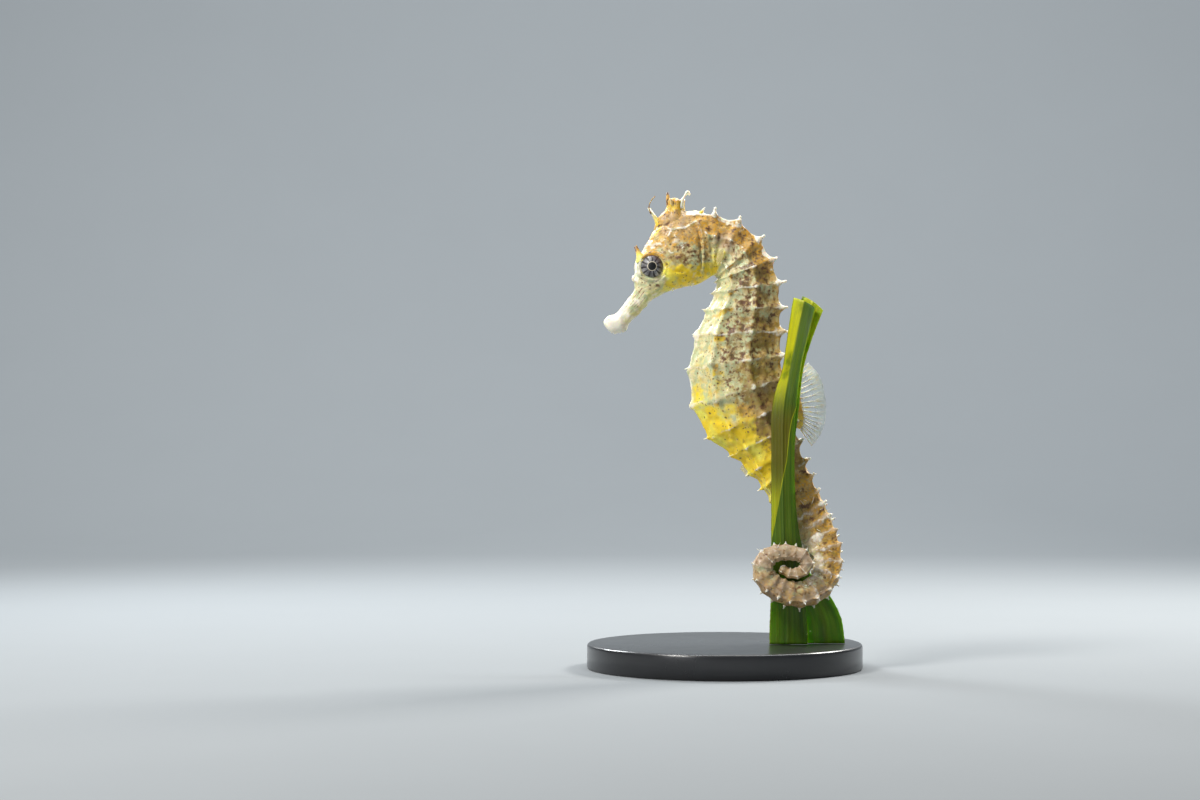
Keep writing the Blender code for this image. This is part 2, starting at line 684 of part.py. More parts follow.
def fin(name, roots, tips, count, finish, side=Vector((0, 1, 0)), steps=4):
    """A fan with its rays as ridges on both faces, from two lines along its foot and its free edge."""
    front, back = [], []
    for i in range(2 * count - 1):
        share = i / (2 * count - 2)
        root, tip = through(roots, share * (len(roots) - 1)), through(tips, share * (len(tips) - 1))
        rows = ([], [])
        for j in range(steps + 1):
            middle = root.lerp(tip, j / steps)
            half = FIN_THICKNESS / 2 + (FIN_RAY * (1 - 0.5 * j / steps) if i % 2 == 0 else 0.0)
            rows[0].append(middle + side * half)
            rows[1].append(middle - side * half)
        front.append(rows[0])
        back.append(rows[1])
    return new_object(name, grid_solid(front, back), finish)


def flat(points):
    """Points (x, z) of the middle plane as vectors."""
    return [Vector((x, 0.0, z)) for x, z in points]


def pectoral(name, side):
    """The small fan behind a gill cover, its middle rays the longest."""
    roots, tips = [], []
    for i in range(5):
        share = i / 4
        point, out = BODY.surface(PECTORAL_PLACE, lerp(*PECTORAL_ANGLES, share))
        sweep = Vector((1.0, 0.0, lerp(*PECTORAL_RISE, share)))
        reach = PECTORAL_LENGTH * lerp(0.8, 1.0, math.sin(math.pi * share))
        roots.append(mirrored(point, side))
        tips.append(mirrored(point + sweep * reach + out * PECTORAL_OUT, side))
    facing = Vector((-0.35, -side, 0.0)).normalized()
    return fin(name, roots, tips, PECTORAL_RAYS, FIN_MEMBRANE, facing, 3)


def leaf(name, rows, finish):
    """A strap-shaped leaf along a smooth curve, folded a little along its midrib."""
    middles = [Vector(row[0]) for row in rows]
    front, back = [], []
    for i in range(LEAF_STEPS + 1):
        place = (len(rows) - 1) * i / LEAF_STEPS
        middle = through(middles, place)
        along = (through(middles, place + 0.05) - through(middles, place - 0.05)).normalized()
        half_width = through([row[1] for row in rows], place)
        turn = math.radians(through([row[2] for row in rows], place))
        across = Vector((math.cos(turn), math.sin(turn), 0.0))
        across = (across - along * across.dot(along)).normalized()
        facing = along.cross(across)
        for sheet, sign in ((front, 1), (back, -1)):
            row = []
            for k in (-1, -0.5, 0, 0.5, 1):
                lift = LEAF_FOLD * (abs(k) - 0.5) + sign * LEAF_THICKNESS / 2
                row.append(middle + across * (k * half_width) + facing * lift)
                if i == 0:
                    row[-1].z = middle.z
            sheet.append(row)
    return new_object(name, grid_solid(front, back), finish)


def stand_base():
    """A flat round base with a small bevel."""
    up = Vector((0, 0, 1))
    shoulder = (BASE_HEIGHT - BASE_BEVEL, BASE_RADIUS)
    levels = ((0.0, BASE_RADIUS), shoulder, (BASE_HEIGHT, BASE_RADIUS - BASE_BEVEL))
    return new_object("stand_base", loft([circle(up * z, up, r, 64) for z, r in levels]), BLACK_ACRYLIC)


def stand_rod(tail):
    """A steel rod from the base to the underside of the tail's first lengths."""
    ends = [Vector((*ROD, z)) for z in (BASE_HEIGHT + GAP, ROD_REACH)]
    made = new_object("stand_rod", rod(ends, [ROD_RADIUS] * 2, 16), STEEL)
    boolean(made, [swollen(length, GAP) for length in tail], "DIFFERENCE")


def body():
    """The lengths of the body by name, with their spines, lids and mouth."""
    ends = [*(start for start, _ in BODY_NODES.values()), float(LAST)]
    nodes = {}
    for i, (name, (start, finish)) in enumerate(BODY_NODES.items()):
        nodes[name] = body_length(name, start, ends[i + 1], finish)
    for i, (name, node) in enumerate(nodes.items()):
        pieces = ring_spines(ends[i], ends[i + 1])
        if name == "head":
            pieces += head_pieces()
        if name == "hips":
            foot = rod(flat((x, z) for x, z, _ in DORSAL_BASE), [radius for *_, radius in DORSAL_BASE], 8)
            pieces.append(new_object("piece", foot))
        if pieces:
            boolean(node, pieces, "UNION")
    boolean(nodes["head"], eye_sockets(), "DIFFERENCE")
    boolean(nodes["snout"], [mouth_slot()], "DIFFERENCE")
    return nodes


def fins(nodes):
    """The four fins, each cut clear of what it grows from."""
    for name, side in (("pectoral_fin_left", 1), ("pectoral_fin_right", -1)):
        boolean(pectoral(name, side), [swollen(nodes["neck"], GAP)], "DIFFERENCE")
    dorsal = fin("dorsal_fin", flat(DORSAL_FOOT), flat(DORSAL_EDGE), DORSAL_RAYS, FLESHY_FIN)
    boolean(dorsal, [swollen(nodes[name], GAP) for name in ("hips", "belly")], "DIFFERENCE")
    anal = fin("anal_fin", flat(ANAL_FOOT), flat(ANAL_EDGE), ANAL_RAYS, FIN_MEMBRANE)
    boolean(anal, [swollen(nodes["hips"], GAP)], "DIFFERENCE")


def main():
    """Builds every node."""
    for old in list(bpy.data.objects):
        bpy.data.objects.remove(old)
    nodes = body()
    eye("eye_left", 1)
    eye("eye_right", -1)
    boolean(coronet(), [swollen(nodes["head"], GAP)], "DIFFERENCE")
    fins(nodes)
    leaf("perch_leaf_front", FRONT_LEAF, LEAF)
    leaf("perch_leaf_back", BACK_LEAF, BACK_LEAF_FINISH)
    stand_base()
    stand_rod([nodes["tail_1"], nodes["tail_2"]])


if __name__ == "__main__":
    main()
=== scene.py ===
"""Looks of a life-size seahorse with its tail coiled before two seagrass leaves, on a display stand.

Lengths are in millimetres until a mesh is finished, and MM turns them into metres. The snout points
to -X, the back to +X, the animal's left side to -Y, and +Z is up.
"""

from __future__ import annotations

import logging
import math
import random
from dataclasses import dataclass, field
from enum import Enum
from typing import Callable, ClassVar, Iterable, Sequence

import bmesh
import bpy
from mathutils import Matrix, Vector, noise
from mathutils.bvhtree import BVHTree

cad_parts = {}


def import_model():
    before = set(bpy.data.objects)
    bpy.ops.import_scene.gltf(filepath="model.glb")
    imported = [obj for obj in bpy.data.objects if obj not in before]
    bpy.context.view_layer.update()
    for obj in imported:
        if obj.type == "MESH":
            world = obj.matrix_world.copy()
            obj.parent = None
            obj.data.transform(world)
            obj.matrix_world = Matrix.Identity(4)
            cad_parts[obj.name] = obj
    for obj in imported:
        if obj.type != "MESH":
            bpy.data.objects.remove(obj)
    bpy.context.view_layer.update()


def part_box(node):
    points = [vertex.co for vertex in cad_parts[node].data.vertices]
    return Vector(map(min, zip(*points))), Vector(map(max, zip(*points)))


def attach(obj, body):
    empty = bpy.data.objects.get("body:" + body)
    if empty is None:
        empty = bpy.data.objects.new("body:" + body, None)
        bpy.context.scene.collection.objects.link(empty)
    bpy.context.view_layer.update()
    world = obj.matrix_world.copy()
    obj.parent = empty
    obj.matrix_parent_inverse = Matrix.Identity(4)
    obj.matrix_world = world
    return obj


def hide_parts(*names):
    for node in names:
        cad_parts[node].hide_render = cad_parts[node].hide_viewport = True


LOG = logging.getLogger("seahorse")
MM = 0.001
ZONES = ("zones_warm", "zones_cool", "zones_deep")
# Middle of an eyeball: its place along X, how far out from the middle plane, and its height.
EYE_X, EYE_OUT, EYE_Z = -17.5, 2.3, 96.2
# Points closer than this become one.
WELD = 1e-4
# A direction that no strand runs along.
ASKEW = (0.31, 0.52, 0.79)

Row = tuple[tuple[float, float], tuple[float, float], float]
Colour = tuple[float, float, float]
Line = tuple[tuple[float, float], ...]
Point = tuple[float, float, float]


class Slot(Enum):
    """Material slots of the pieces."""

    SKIN = "skin"
    FIN = "fin_membrane"
    EYE = "eye"
    LEAF = "leaf"
    ACRYLIC = "stand_acrylic"
    STEEL = "stand_steel"


class Ridge(Enum):
    """Lengthwise ridges of the bony rings, by the corner of the section that each runs along."""

    UPPER = 1
    SIDE = 3
    LOWER = 5
    KEEL = 7


def lerp(a: float, b: float, share: float) -> float:
    """Value part of the way from a to b."""
    return a + (b - a) * share


def smooth(low: float, high: float, value: float) -> float:
    """Zero below low, one above high, and a soft step between."""
    share = min(1.0, max(0.0, (value - low) / (high - low)))
    return share * share * (3 - 2 * share)


def bell(distance: float, width: float) -> float:
    """One at no distance, falling to nothing over a few widths."""
    return math.exp(-((distance / width) ** 2))


def through(points: Sequence, place: float):
    """Finds a point of a smooth curve.

    Args:
        points: Values or vectors that the curve passes.
        place: Where along the curve, counted in points.

    Returns:
        The value or vector there.
    """
    last = len(points) - 1
    place = min(max(place, 0.0), last)
    i = min(int(place), last - 1)
    t = place - i
    a, b = points[i], points[i + 1]
    before = points[i - 1] if i else a * 2 - b
    after = points[i + 2] if i + 2 <= last else b * 2 - a
    return 0.5 * (a * 2 + (b - before) * t + (before * 2 - a * 5 + b * 4 - after) * t**2
                  + (a * 3 - before - b * 3 + after) * t**3)


def from_line(x: float, z: float, line: Line) -> float:
    """Measures how far a point of the side view is from a line of points.

    Args:
        x: The point's place along X.
        z: The point's height.
        line: The line's points as (x, z).

    Returns:
        The shortest distance.
    """
    best = 1e9
    for (ax, az), (bx, bz) in zip(line, line[1:]):
        dx, dz = bx - ax, bz - az
        share = min(1.0, max(0.0, ((x - ax) * dx + (z - az) * dz) / (dx * dx + dz * dz)))
        best = min(best, math.hypot(x - ax - dx * share, z - az - dz * share))
    return best


def mirrored(point: Point, side: int) -> Vector:
    """Vector to a point of the left side, or to its mirror image where side is -1."""
    return Vector((point[0], point[1] * side, point[2]))


def round_turns(sides: int) -> list[float]:
    """Angles once round, the first one again at the end."""
    return [2 * math.pi * (i % sides) / sides for i in range(sides + 1)]


def any_way(draw: random.Random) -> Vector:
    """Draws a vector with each part between -1 and 1."""
    return Vector([draw.uniform(-1, 1) for _ in range(3)])


@dataclass(frozen=True)
class Plane:
    """A plane across the body: its middle, the ways to the back and the left, and its half sizes."""

    middle: Vector
    out: Vector
    left: Vector
    depth: float
    width: float

    @property
    def along(self) -> Vector:
        """Direction towards the tip of the tail."""
        return self.out.cross(self.left)


@dataclass
class Flesh:
    """The form of the body, as planes from the mouth to the tip of the tail and the sections between them."""

    # Side outline of the head from the mouth to the nape: upper point (x, z), lower point (x, z), half width.
    head: Sequence[Row] = (
        ((-28.9, 83.4), (-26.0, 80.2), 1.5),
        ((-28.0, 84.4), (-23.7, 80.8), 2.1),
        ((-26.0, 85.1), (-22.8, 82.8), 1.7),
        ((-23.7, 87.8), (-20.4, 85.0), 1.9),
        ((-21.7, 90.6), (-17.4, 88.3), 2.3),
        ((-21.8, 93.3), (-13.6, 90.3), 3.1),
        ((-21.1, 96.7), (-9.7, 91.5), 4.3),
        ((-19.3, 100.3), (-6.6, 92.0), 4.8),
        ((-17.4, 104.0), (-4.0, 93.4), 5.2),
        ((-14.5, 107.3), (-3.34, 93.97), 5.0),
        ((-10.7, 109.3), (-3.15, 94.1), 4.5),
        ((-6.6, 109.6), (-2.93, 94.17), 4.1),
    )
    # The trunk in the same form, one row for each bony ring.
    trunk: Sequence[Row] = (
        ((-2.5, 108.4), (-2.69, 94.2), 4.0),
        ((3.2, 106.7), (-2.3, 94.12), 4.3),
        ((8.0, 102.5), (-1.95, 93.86), 4.8),
        ((10.9, 97.8), (-1.75, 92.9), 5.2),
        ((12.6, 92.2), (-2.4, 90.0), 5.6),
        ((13.2, 86.4), (-4.1, 85.9), 6.2),
        ((13.2, 80.6), (-6.7, 80.0), 6.8),
        ((13.3, 75.0), (-8.3, 71.9), 7.1),
        ((14.3, 69.4), (-7.3, 62.9), 7.0),
        ((16.0, 64.1), (-3.5, 55.4), 6.5),
        ((16.8, 59.0), (2.0, 51.1), 5.7),
        ((17.6, 54.2), (6.1, 46.8), 5.1),
        ((19.0, 49.6), (9.2, 43.2), 4.9),
    )
    # Middle line of the tail: down behind the leaves, round below, up in front of them and inwards.
    tail: Sequence[Point] = (
        (14.1, 0.0, 46.4), (18.4, -0.4, 38.3), (22.3, -2.0, 31.6), (24.2, -4.6, 25.4), (22.4, -7.2, 20.4),
        (17.9, -9.4, 18.3), (13.6, -10.5, 19.0), (9.9, -11.1, 21.4), (8.5, -11.3, 24.9), (10.3, -11.4, 27.5),
        (13.1, -11.4, 28.3), (16.0, -11.4, 28.1), (18.0, -11.5, 27.3), (18.8, -11.6, 25.8),
        (18.1, -11.6, 24.2), (16.4, -11.5, 23.4), (14.6, -11.4, 23.5), (13.2, -11.3, 24.3),
    )
    tail_half_depths: Sequence[float] = (5.9, 5.6, 5.0, 4.0, 3.3, 3.1, 2.95, 2.6, 1.95, 1.6, 1.1)
    tail_width: tuple[float, float] = (0.83, 0.92)
    tail_rings: int = 26
    tail_ring_ratio: float = 0.968
    coil_tilt: float = math.radians(22)
    coil_start: tuple[float, float] = (0.25, 0.45)
    # Corners of half a section in degrees from the back, on the trunk and on the tail.
    trunk_angles: Sequence[float] = (0, 28, 50, 75, 98, 122, 150, 180)
    tail_angles: Sequence[float] = (0, 45, 66, 90, 114, 135, 157, 180)
    tail_rounding: float = 0.28
    waists: tuple[float, float, float] = (0.45, 0.25, 0.14)
    backs: list[Vector] = field(default_factory=list)
    bellies: list[Vector] = field(default_factory=list)
    widths: list[float] = field(default_factory=list)

    def __post_init__(self) -> None:
        """Lays the planes of the head, the trunk and the tail."""
        rows = [*self.head, *self.trunk]
        self.backs = [Vector((row[0][0], 0.0, row[0][1])) for row in rows]
        self.bellies = [Vector((row[1][0], 0.0, row[1][1])) for row in rows]
        self.widths = [row[2] for row in rows]
        self.add_tail()

    @property
    def shoulder(self) -> int:
        """Place of the first bony ring."""
        return len(self.head)

    @property
    def hip(self) -> int:
        """Place where the tail begins."""
        return len(self.head) + len(self.trunk) - 1

    @property
    def last(self) -> int:
        """Place of the tail's tip."""
        return self.hip + self.tail_rings

    @property
    def hip_blend(self) -> tuple[int, int]:
        """Places between which the trunk's section turns into the tail's."""
        return self.hip - 3, self.hip + 2

    def add_tail(self, steps: int = 400) -> None:
        """Adds a plane for each ring of the tail, ever closer along its middle line.

        Args:
            steps: Number of straight steps by which the line is measured.
        """
        line = [Vector(p) for p in self.tail]
        fine = [through(line, (len(line) - 1) * i / steps) for i in range(steps + 1)]
        run = [0.0]
        for a, b in zip(fine, fine[1:]):
            run.append(run[-1] + (b - a).length)
        first = (self.backs[-1] - self.bellies[-1]).normalized()
        for ring in range(1, self.tail_rings + 1):
            share = (1 - self.tail_ring_ratio**ring) / (1 - self.tail_ring_ratio**self.tail_rings)
            i = next(k for k in range(1, steps + 1) if run[k] >= share * run[-1] - 1e-9)
            middle = fine[i].lerp(fine[i - 1], (run[i] - share * run[-1]) / (run[i] - run[i - 1]))
            along = (fine[min(i + 1, steps)] - fine[max(i - 2, 0)]).normalized()
            tilt = self.coil_tilt * smooth(*self.coil_start, share)
            left = Vector((0.0, -math.cos(tilt), math.sin(tilt)))
            out = (left - along * left.dot(along)).cross(along)
            out = first.lerp(out.normalized(), smooth(0.0, 5.0, ring)).normalized()
            half = through(self.tail_half_depths, share * (len(self.tail_half_depths) - 1))
            self.backs.append(middle + out * half)
            self.bellies.append(middle - out * half)
            self.widths.append(half * lerp(*self.tail_width, smooth(0, 4, ring)))

    def plane(self, place: float) -> Plane:
        """Finds the plane across the body at a place.

        Args:
            place: Counted in planes from the mouth.

        Returns:
            The plane.
        """
        back, belly = through(self.backs, place), through(self.bellies, place)
        ahead = [through(self.backs, place + d) + through(self.bellies, place + d) for d in (-0.05, 0.05)]
        out = (back - belly).normalized()
        left = (ahead[1] - ahead[0]).cross(out).normalized()
        return Plane((back + belly) / 2, out, left, (back - belly).length / 2, through(self.widths, place))

    def corners(self, place: float) -> list[tuple[float, float, float]]:
        """Finds the corners of the section at a place.

        Args:
            place: Counted in planes from the mouth.

        Returns:
            For each corner once round from the back by the left: how far to the back and to the left as
            shares of the half sizes, and its angle in degrees.
        """
        share = smooth(*self.hip_blend, place)
        angles = [lerp(a, b, share) for a, b in zip(self.trunk_angles, self.tail_angles)]
        marks = [-angles[1], *(angles[ridge.value] for ridge in Ridge)]
        if share > 0:
            marks[-1] = lerp(180, 360 - angles[5], share)
        half = []
        for angle in angles:
            low = max(m for m in marks if m <= angle)
            high = min(m for m in marks if m >= angle)
            flat = math.cos(math.radians(high - low) / 2) / math.cos(math.radians(angle - (low + high) / 2))
            reach = lerp(flat, 1.0, self.tail_rounding * share)
            half.append((math.cos(math.radians(angle)) * reach, math.sin(math.radians(angle)) * reach))
        back, belly = max(c for c, _ in half), -min(c for c, _ in half)
        side = max(s for _, s in half)
        scaled = [(c / (back if c > 0 else belly), s / side) for c, s in half]
        left = [(c, s, angle) for (c, s), angle in zip(scaled, angles)]
        return left + [(c, -s, 360 - angle) for c, s, angle in reversed(left[1:-1])]

    def waist(self, place: float) -> float:
        """How far the skin is drawn in halfway between two rings."""
        trunk, tail, tip = self.waists
        deep = lerp(trunk, tail, smooth(self.hip - 5, self.hip, place))
        return lerp(deep, tip, smooth(self.hip_blend[1], self.last, place))

    def sway(self, point: Vector) -> float:
        """How far the rings bend out of their planes at a point, counted in rings."""
        return 0.09 * noise.noise(point * 0.4) + 0.03 * noise.noise(point * 1.3)

    def spine_root(self, ring: int, ridge: Ridge, side: int, lean: float) -> tuple[Vector, Vector]:
        """Finds where a spine grows.

        Args:
            ring: Place of its ring.
            ridge: The ridge that it stands on.
            side: 1 for the left and -1 for the right.
            lean: How far it leans from square to the skin towards the back.

        Returns:
            Its root and its direction.
        """
        plane = self.plane(ring)
        if ridge is Ridge.KEEL:
            return plane.middle - plane.out * plane.depth, -plane.out
        c, s, _ = self.corners(ring)[ridge.value]
        root = plane.middle + plane.out * (c * plane.depth) + plane.left * (s * plane.width * side)
        square = (plane.out * (c / plane.depth) + plane.left * (s * side / plane.width)).normalized()
        return root, (square + plane.out * (lean * c)).normalized()


@dataclass(frozen=True)
class Dye:
    """Strengths of the skin's colours at a spot, each from 0 to 1."""

    ochre: float = 0.0
    yellow: float = 0.0
    white: float = 0.0
    brown: float = 0.0
    pink: float = 0.0
    blue: float = 0.0
    olive: float = 0.0
    dots: float = 0.0
    net: float = 0.0

    def threes(self) -> list[tuple[float, ...]]:
        """The strengths in threes, one for each of the mesh's colour layers."""
        held = [min(1.0, max(0.0, value)) for value in vars(self).values()]
        return [(*held[i:i + 3], 1.0) for i in range(0, len(held), 3)]

    def blend(self, other: Dye, share: float) -> Dye:
        """Mixes this dye with another.

        Args:
            other: The other one.
            share: How much of the other.

        Returns:
            The mixture.
        """
        return Dye(*(lerp(a, b, share) for a, b in zip(vars(self).values(), vars(other).values())))


@dataclass
class Markings:
    """Where the skin carries its colours."""

    flesh: Flesh
    # Pale raised lines of the head in the side view: points (x, z), width, height and how pale.
    lines: Sequence[tuple[Line, float, float, float]] = (
        (((-13.0, 104.9), (-11.4, 105.3), (-9.6, 105.4), (-8.1, 106.4), (-6.9, 107.1)), 0.2, 0.28, 0.9),
        (((-12.9, 105.0), (-13.6, 103.4)), 0.18, 0.2, 0.8),
        (((-12.9, 105.0), (-14.6, 105.9), (-16.4, 105.0)), 0.18, 0.2, 0.6),
        (((-12.9, 105.0), (-11.9, 103.2)), 0.16, 0.16, 0.6),
        (((-12.9, 105.0), (-12.2, 106.6)), 0.16, 0.16, 0.5),
        (((-6.9, 107.1), (-6.1, 105.9), (-5.6, 104.3), (-5.2, 101.5), (-5.2, 98.0), (-5.5, 95.2)),
         0.32, 0.3, 0.45),
        (((-4.7, 104.3), (-3.8, 103.3), (-2.8, 100.6), (-1.8, 99.5), (-0.4, 98.6)), 0.24, 0.3, 0.9),
        (((-20.9, 98.0), (-19.5, 100.6), (-17.6, 101.6), (-15.4, 101.4)), 0.35, 0.25, 0.5),
        (((-13.6, 100.0), (-13.0, 99.3), (-12.5, 99.4)), 0.18, 0.2, 0.8),
    )
    # Grooves of the head: points (x, z), width and depth.
    grooves: Sequence[tuple[Line, float, float]] = (
        (((-6.4, 104.4), (-5.9, 102.0), (-5.8, 99.0), (-5.7, 96.0), (-6.3, 94.6)), 0.24, 0.5),
        (((-13.9, 96.4), (-12.0, 95.0), (-10.0, 94.8)), 0.2, 0.3),
        (((-14.4, 94.8), (-14.0, 92.8), (-13.0, 91.6)), 0.3, 0.2),
    )
    # Large dark spots of the head in the side view: x, z and radius.
    spots: Sequence[tuple[float, float, float]] = (
        (-7.3, 99.6, 0.55), (-8.5, 98.7, 0.5), (-11.6, 97.9, 0.4), (-16.2, 91.7, 0.38), (-8.0, 95.8, 0.36),
        (-11.1, 102.2, 0.33), (-8.9, 101.3, 0.42), (-10.1, 99.0, 0.35), (-12.8, 98.2, 0.4),
        (-9.6, 104.0, 0.36), (-7.6, 103.0, 0.4), (-14.3, 102.9, 0.3), (-12.4, 100.9, 0.25),
        (-6.7, 97.4, 0.3))
    # Fine dark streaks along the upper side of the snout.
    streaks: Sequence[Line] = (
        ((-19.4, 90.2), (-20.9, 88.2), (-22.4, 86.6)), ((-19.9, 91.0), (-21.0, 89.2)),
        ((-21.4, 88.7), (-23.4, 86.2), (-24.6, 85.0)), ((-20.2, 88.0), (-21.9, 86.4)),
        ((-22.6, 87.9), (-24.2, 85.9)), ((-18.7, 89.3), (-20.0, 87.7), (-21.4, 86.1)),
        ((-20.5, 90.4), (-22.2, 88.3)), ((-22.0, 86.0), (-23.6, 84.4)))
    # Soft patches of the head in the side view for each dye: x, z, width, flatness and strength.
    patches: dict[str, Sequence[tuple[float, ...]]] = field(default_factory=lambda: {
        "white": (
            (-21.6, 92.8, 1.4, 1.0, 0.9), (-17.6, 101.9, 1.5, 0.8, 0.7), (-15.6, 92.4, 1.8, 1.0, 0.7),
            (-6.2, 94.6, 1.5, 1.0, 0.6), (-13.8, 97.6, 1.2, 1.0, 0.6), (-11.5, 102.5, 1.6, 0.6, 0.42)),
        "ochre": (
            (-16.0, 105.2, 1.5, 1.0, 0.9), (-17.2, 100.2, 1.5, 1.0, 0.75), (-7.2, 105.4, 1.5, 1.0, 0.95),
            (-3.6, 106.0, 2.0, 1.0, 0.9), (-4.4, 96.3, 1.4, 1.0, 0.7), (-10.5, 107.6, 2.2, 0.6, 0.85)),
        "yellow": ((-16.0, 104.6, 1.1, 1.0, 0.75), (-3.0, 95.6, 1.3, 1.0, 0.5)),
        "brown": (
            (-9.4, 98.9, 1.6, 0.38, 0.85), (-8.2, 102.4, 1.8, 0.8, 0.72), (-3.0, 104.7, 1.2, 0.7, 0.72),
            (-13.0, 98.4, 0.9, 0.7, 0.6)),
        "pink": ((-1.4, 101.8, 1.9, 0.8, 0.9), (-8.3, 103.4, 1.7, 1.0, 0.4)),
        "blue": ((-10.7, 100.9, 1.5, 1.0, 0.85), (-14.0, 101.0, 1.1, 1.0, 0.5), (-15.4, 94.0, 1.0, 1.0, 0.4)),
    })

    def drift(self, point: Vector, size: float) -> Vector:
        """Lets the borders of the colours wander.

        Args:
            point: The spot.
            size: How far at most.

        Returns:
            A small random vector that changes softly from spot to spot.
        """
        return (noise.noise_vector(point * 0.42) + noise.noise_vector(point * 1.1) * 0.6) * size

    def head(self, x: float, z: float, drift: Vector = Vector()) -> Dye:
        """Finds the colours of the head.

        Args:
            x: Place in the side view.
            z: Height.
            drift: How far the borders have wandered.

        Returns:
            The dye there.
        """
        wx, wz = x + drift.x, z + drift.z
        near = {dye: max(strong * bell(math.hypot((wx - cx) * flat, wz - cz), width)
                         for cx, cz, width, flat, strong in patches)
                for dye, patches in self.patches.items()}
        snout = smooth(92.0, 88.5, wz)
        under = (wx + 23.3) * 0.77 - (wz - 86.0) * 0.64
        brow = smooth(-19.0, -20.6, x - 0.15 * (z - 96)) * smooth(91.5, 93, z)
        top = smooth(99.0, 101.5, wz)
        mauve = smooth(102.0, 104.6, wz) * smooth(-17.0, -14.8, wx) * smooth(-5.0, -8.0, wx)
        streak = max(bell(from_line(x, z, line), 0.13) for line in self.streaks)
        lines = max(1.3 * pale * bell(from_line(x, z, line), width * 1.6)
                    for line, width, _, pale in self.lines)
        spots = max(1.3 * bell(math.hypot(x - sx, z - sz), size * 1.1) for sx, sz, size in self.spots)
        # Painted rim glow: white on the brow's front edge and on the top of the neck behind the crown.
        white = max(near["white"], lines, smooth(85.0, 82.0, wz + 0.2 * (wx + 25)), 0.85 * brow, 0.75 * snout,
                    0.85 * smooth(107.9, 108.8, z) * smooth(-10.2, -8.8, x))
        ochre = max(near["ochre"], 0.5 * smooth(94.5, 98.0, wz) + 0.22 * top)
        yellow = 0.95 * smooth(98.6, 96.2, wz + 0.1 * (wx + 10)) * smooth(-17.4, -13.0, wx)
        yellow *= lerp(0.55, 1.0, smooth(-0.25, 0.2, noise.noise(Vector((x, 5.0, z)) * 0.8)))
        yellow = max(near["yellow"], yellow * (1 - 0.8 * snout), 0.6 * snout * smooth(-0.3, 1.6, under))
        brown = max(near["brown"], spots, streak ** 1.5, 0.55 * mauve,
                    0.42 * (1 - snout) * smooth(97.0, 98.5, wz))
        pink = max(near["pink"], 0.5 * mauve, 0.95 * streak,
                   0.4 * snout * smooth(0.6, -0.6, under) * smooth(84.0, 86.0, wz))
        blue = near["blue"]
        olive = max(0.7 * smooth(99.9, 98.6, wz) * smooth(-15.0, -13.0, wx) * smooth(96.4, 97.4, wz),
                    0.42 * mauve, 0.3 * top)
        dots = 0.9 * (1 - snout) * (1 - brow) * (1 - 0.6 * yellow)
        net = 0.6 * (1 - snout) * (1 - 0.8 * yellow)
        return Dye(ochre * (1 - blue), yellow, white, brown, pink * (1 - blue), blue, olive * (1 - blue),
                   dots, net)

    def trunk(self, place: float, angle: float, drift: Vector) -> Dye:
        """Finds the colours of the trunk.

        Args:
            place: Counted in planes from the mouth.
            angle: Degrees from the back, up to 180 on either side.
            drift: How far the borders have wandered.

        Returns:
            The dye there.
        """
        count = place - self.flesh.shoulder + 0.35 * drift.x
        turn = angle + 8 * drift.y
        off = place - round(place)
        slip = off + 0.1 * drift.z

        def near(drop: float, middle: float, tall: float, wide: float) -> float:
            """Strength of a patch with wandering borders that every ring repeats."""
            return bell(math.hypot((slip - drop) / tall, (turn - middle) / wide), 1.0)

        def knob(middle: float, tall: float, wide: float) -> float:
            """Strength of a pale knob at the crossing of a ring and a ridge."""
            return bell(math.hypot(off / tall, (angle - middle) / wide), 1.0)

        between = 0.5 - 0.5 * math.cos(2 * math.pi * slip)
        ring = bell(off, 0.07) * smooth(0.4, 3.5, count)
        # Painted rim glow: white on the nape's top, the first rings' upper ridge and the chest's front edge.
        white = max(ring * lerp(0.72, 0.62, smooth(40, 150, angle)),
                    smooth(34, 22, turn) * smooth(5.0, 2.0, count),
                    0.9 * bell(angle - 28, 5) * smooth(7.0, 4.0, count) * lerp(0.4, 1.0, bell(off, 0.25)),
                    0.7 * bell(angle - 180, 12) * smooth(9.5, 7.5, count), 0.95 * knob(75, 0.1, 5),
                    0.85 * knob(122, 0.1, 4), 0.75 * knob(28, 0.2, 12), 0.55 * near(0.3, 40, 0.1, 9),
                    0.9 * smooth(44, 30, turn) * smooth(1.8, 0.6, count))
        ochre = max(0.95 * smooth(90, 62, turn) * smooth(14, 26, turn) * smooth(5.5, 2.5, count),
                    0.62 * smooth(104, 60, turn) * smooth(2.5, 5.0, count),
                    0.95 * near(0.14, 119, 0.18, 9) * smooth(0.5, 2.0, count) * smooth(11.0, 9.0, count),
                    0.6 * near(0.12, 86, 0.15, 10) * smooth(1.0, 2.0, count),
                    0.9 * bell(turn - 92, 16) * smooth(7.6, 8.6, count),
                    0.95 * smooth(34, 22, turn) * smooth(4.5, 7.0, count),
                    0.5 * smooth(9.5, 11.5, count), 0.2)
        yellow = max(smooth(7.7, 9.6, count + smooth(95, 165, turn) * 0.9) * smooth(64, 108, turn),
                     0.8 * smooth(84, 112, turn) * smooth(1.6, 0.2, count),
                     0.5 * near(0.16, 122, 0.22, 11) * smooth(3.0, 5.0, count),
                     0.3 * smooth(5.5, 7.5, count), 0.1)
        rows = max(bell((slip + 0.2) / 0.24, 1.0), 0.66 * between)
        rows = rows * smooth(40, 56, turn) * smooth(0.6, 2.4, count)
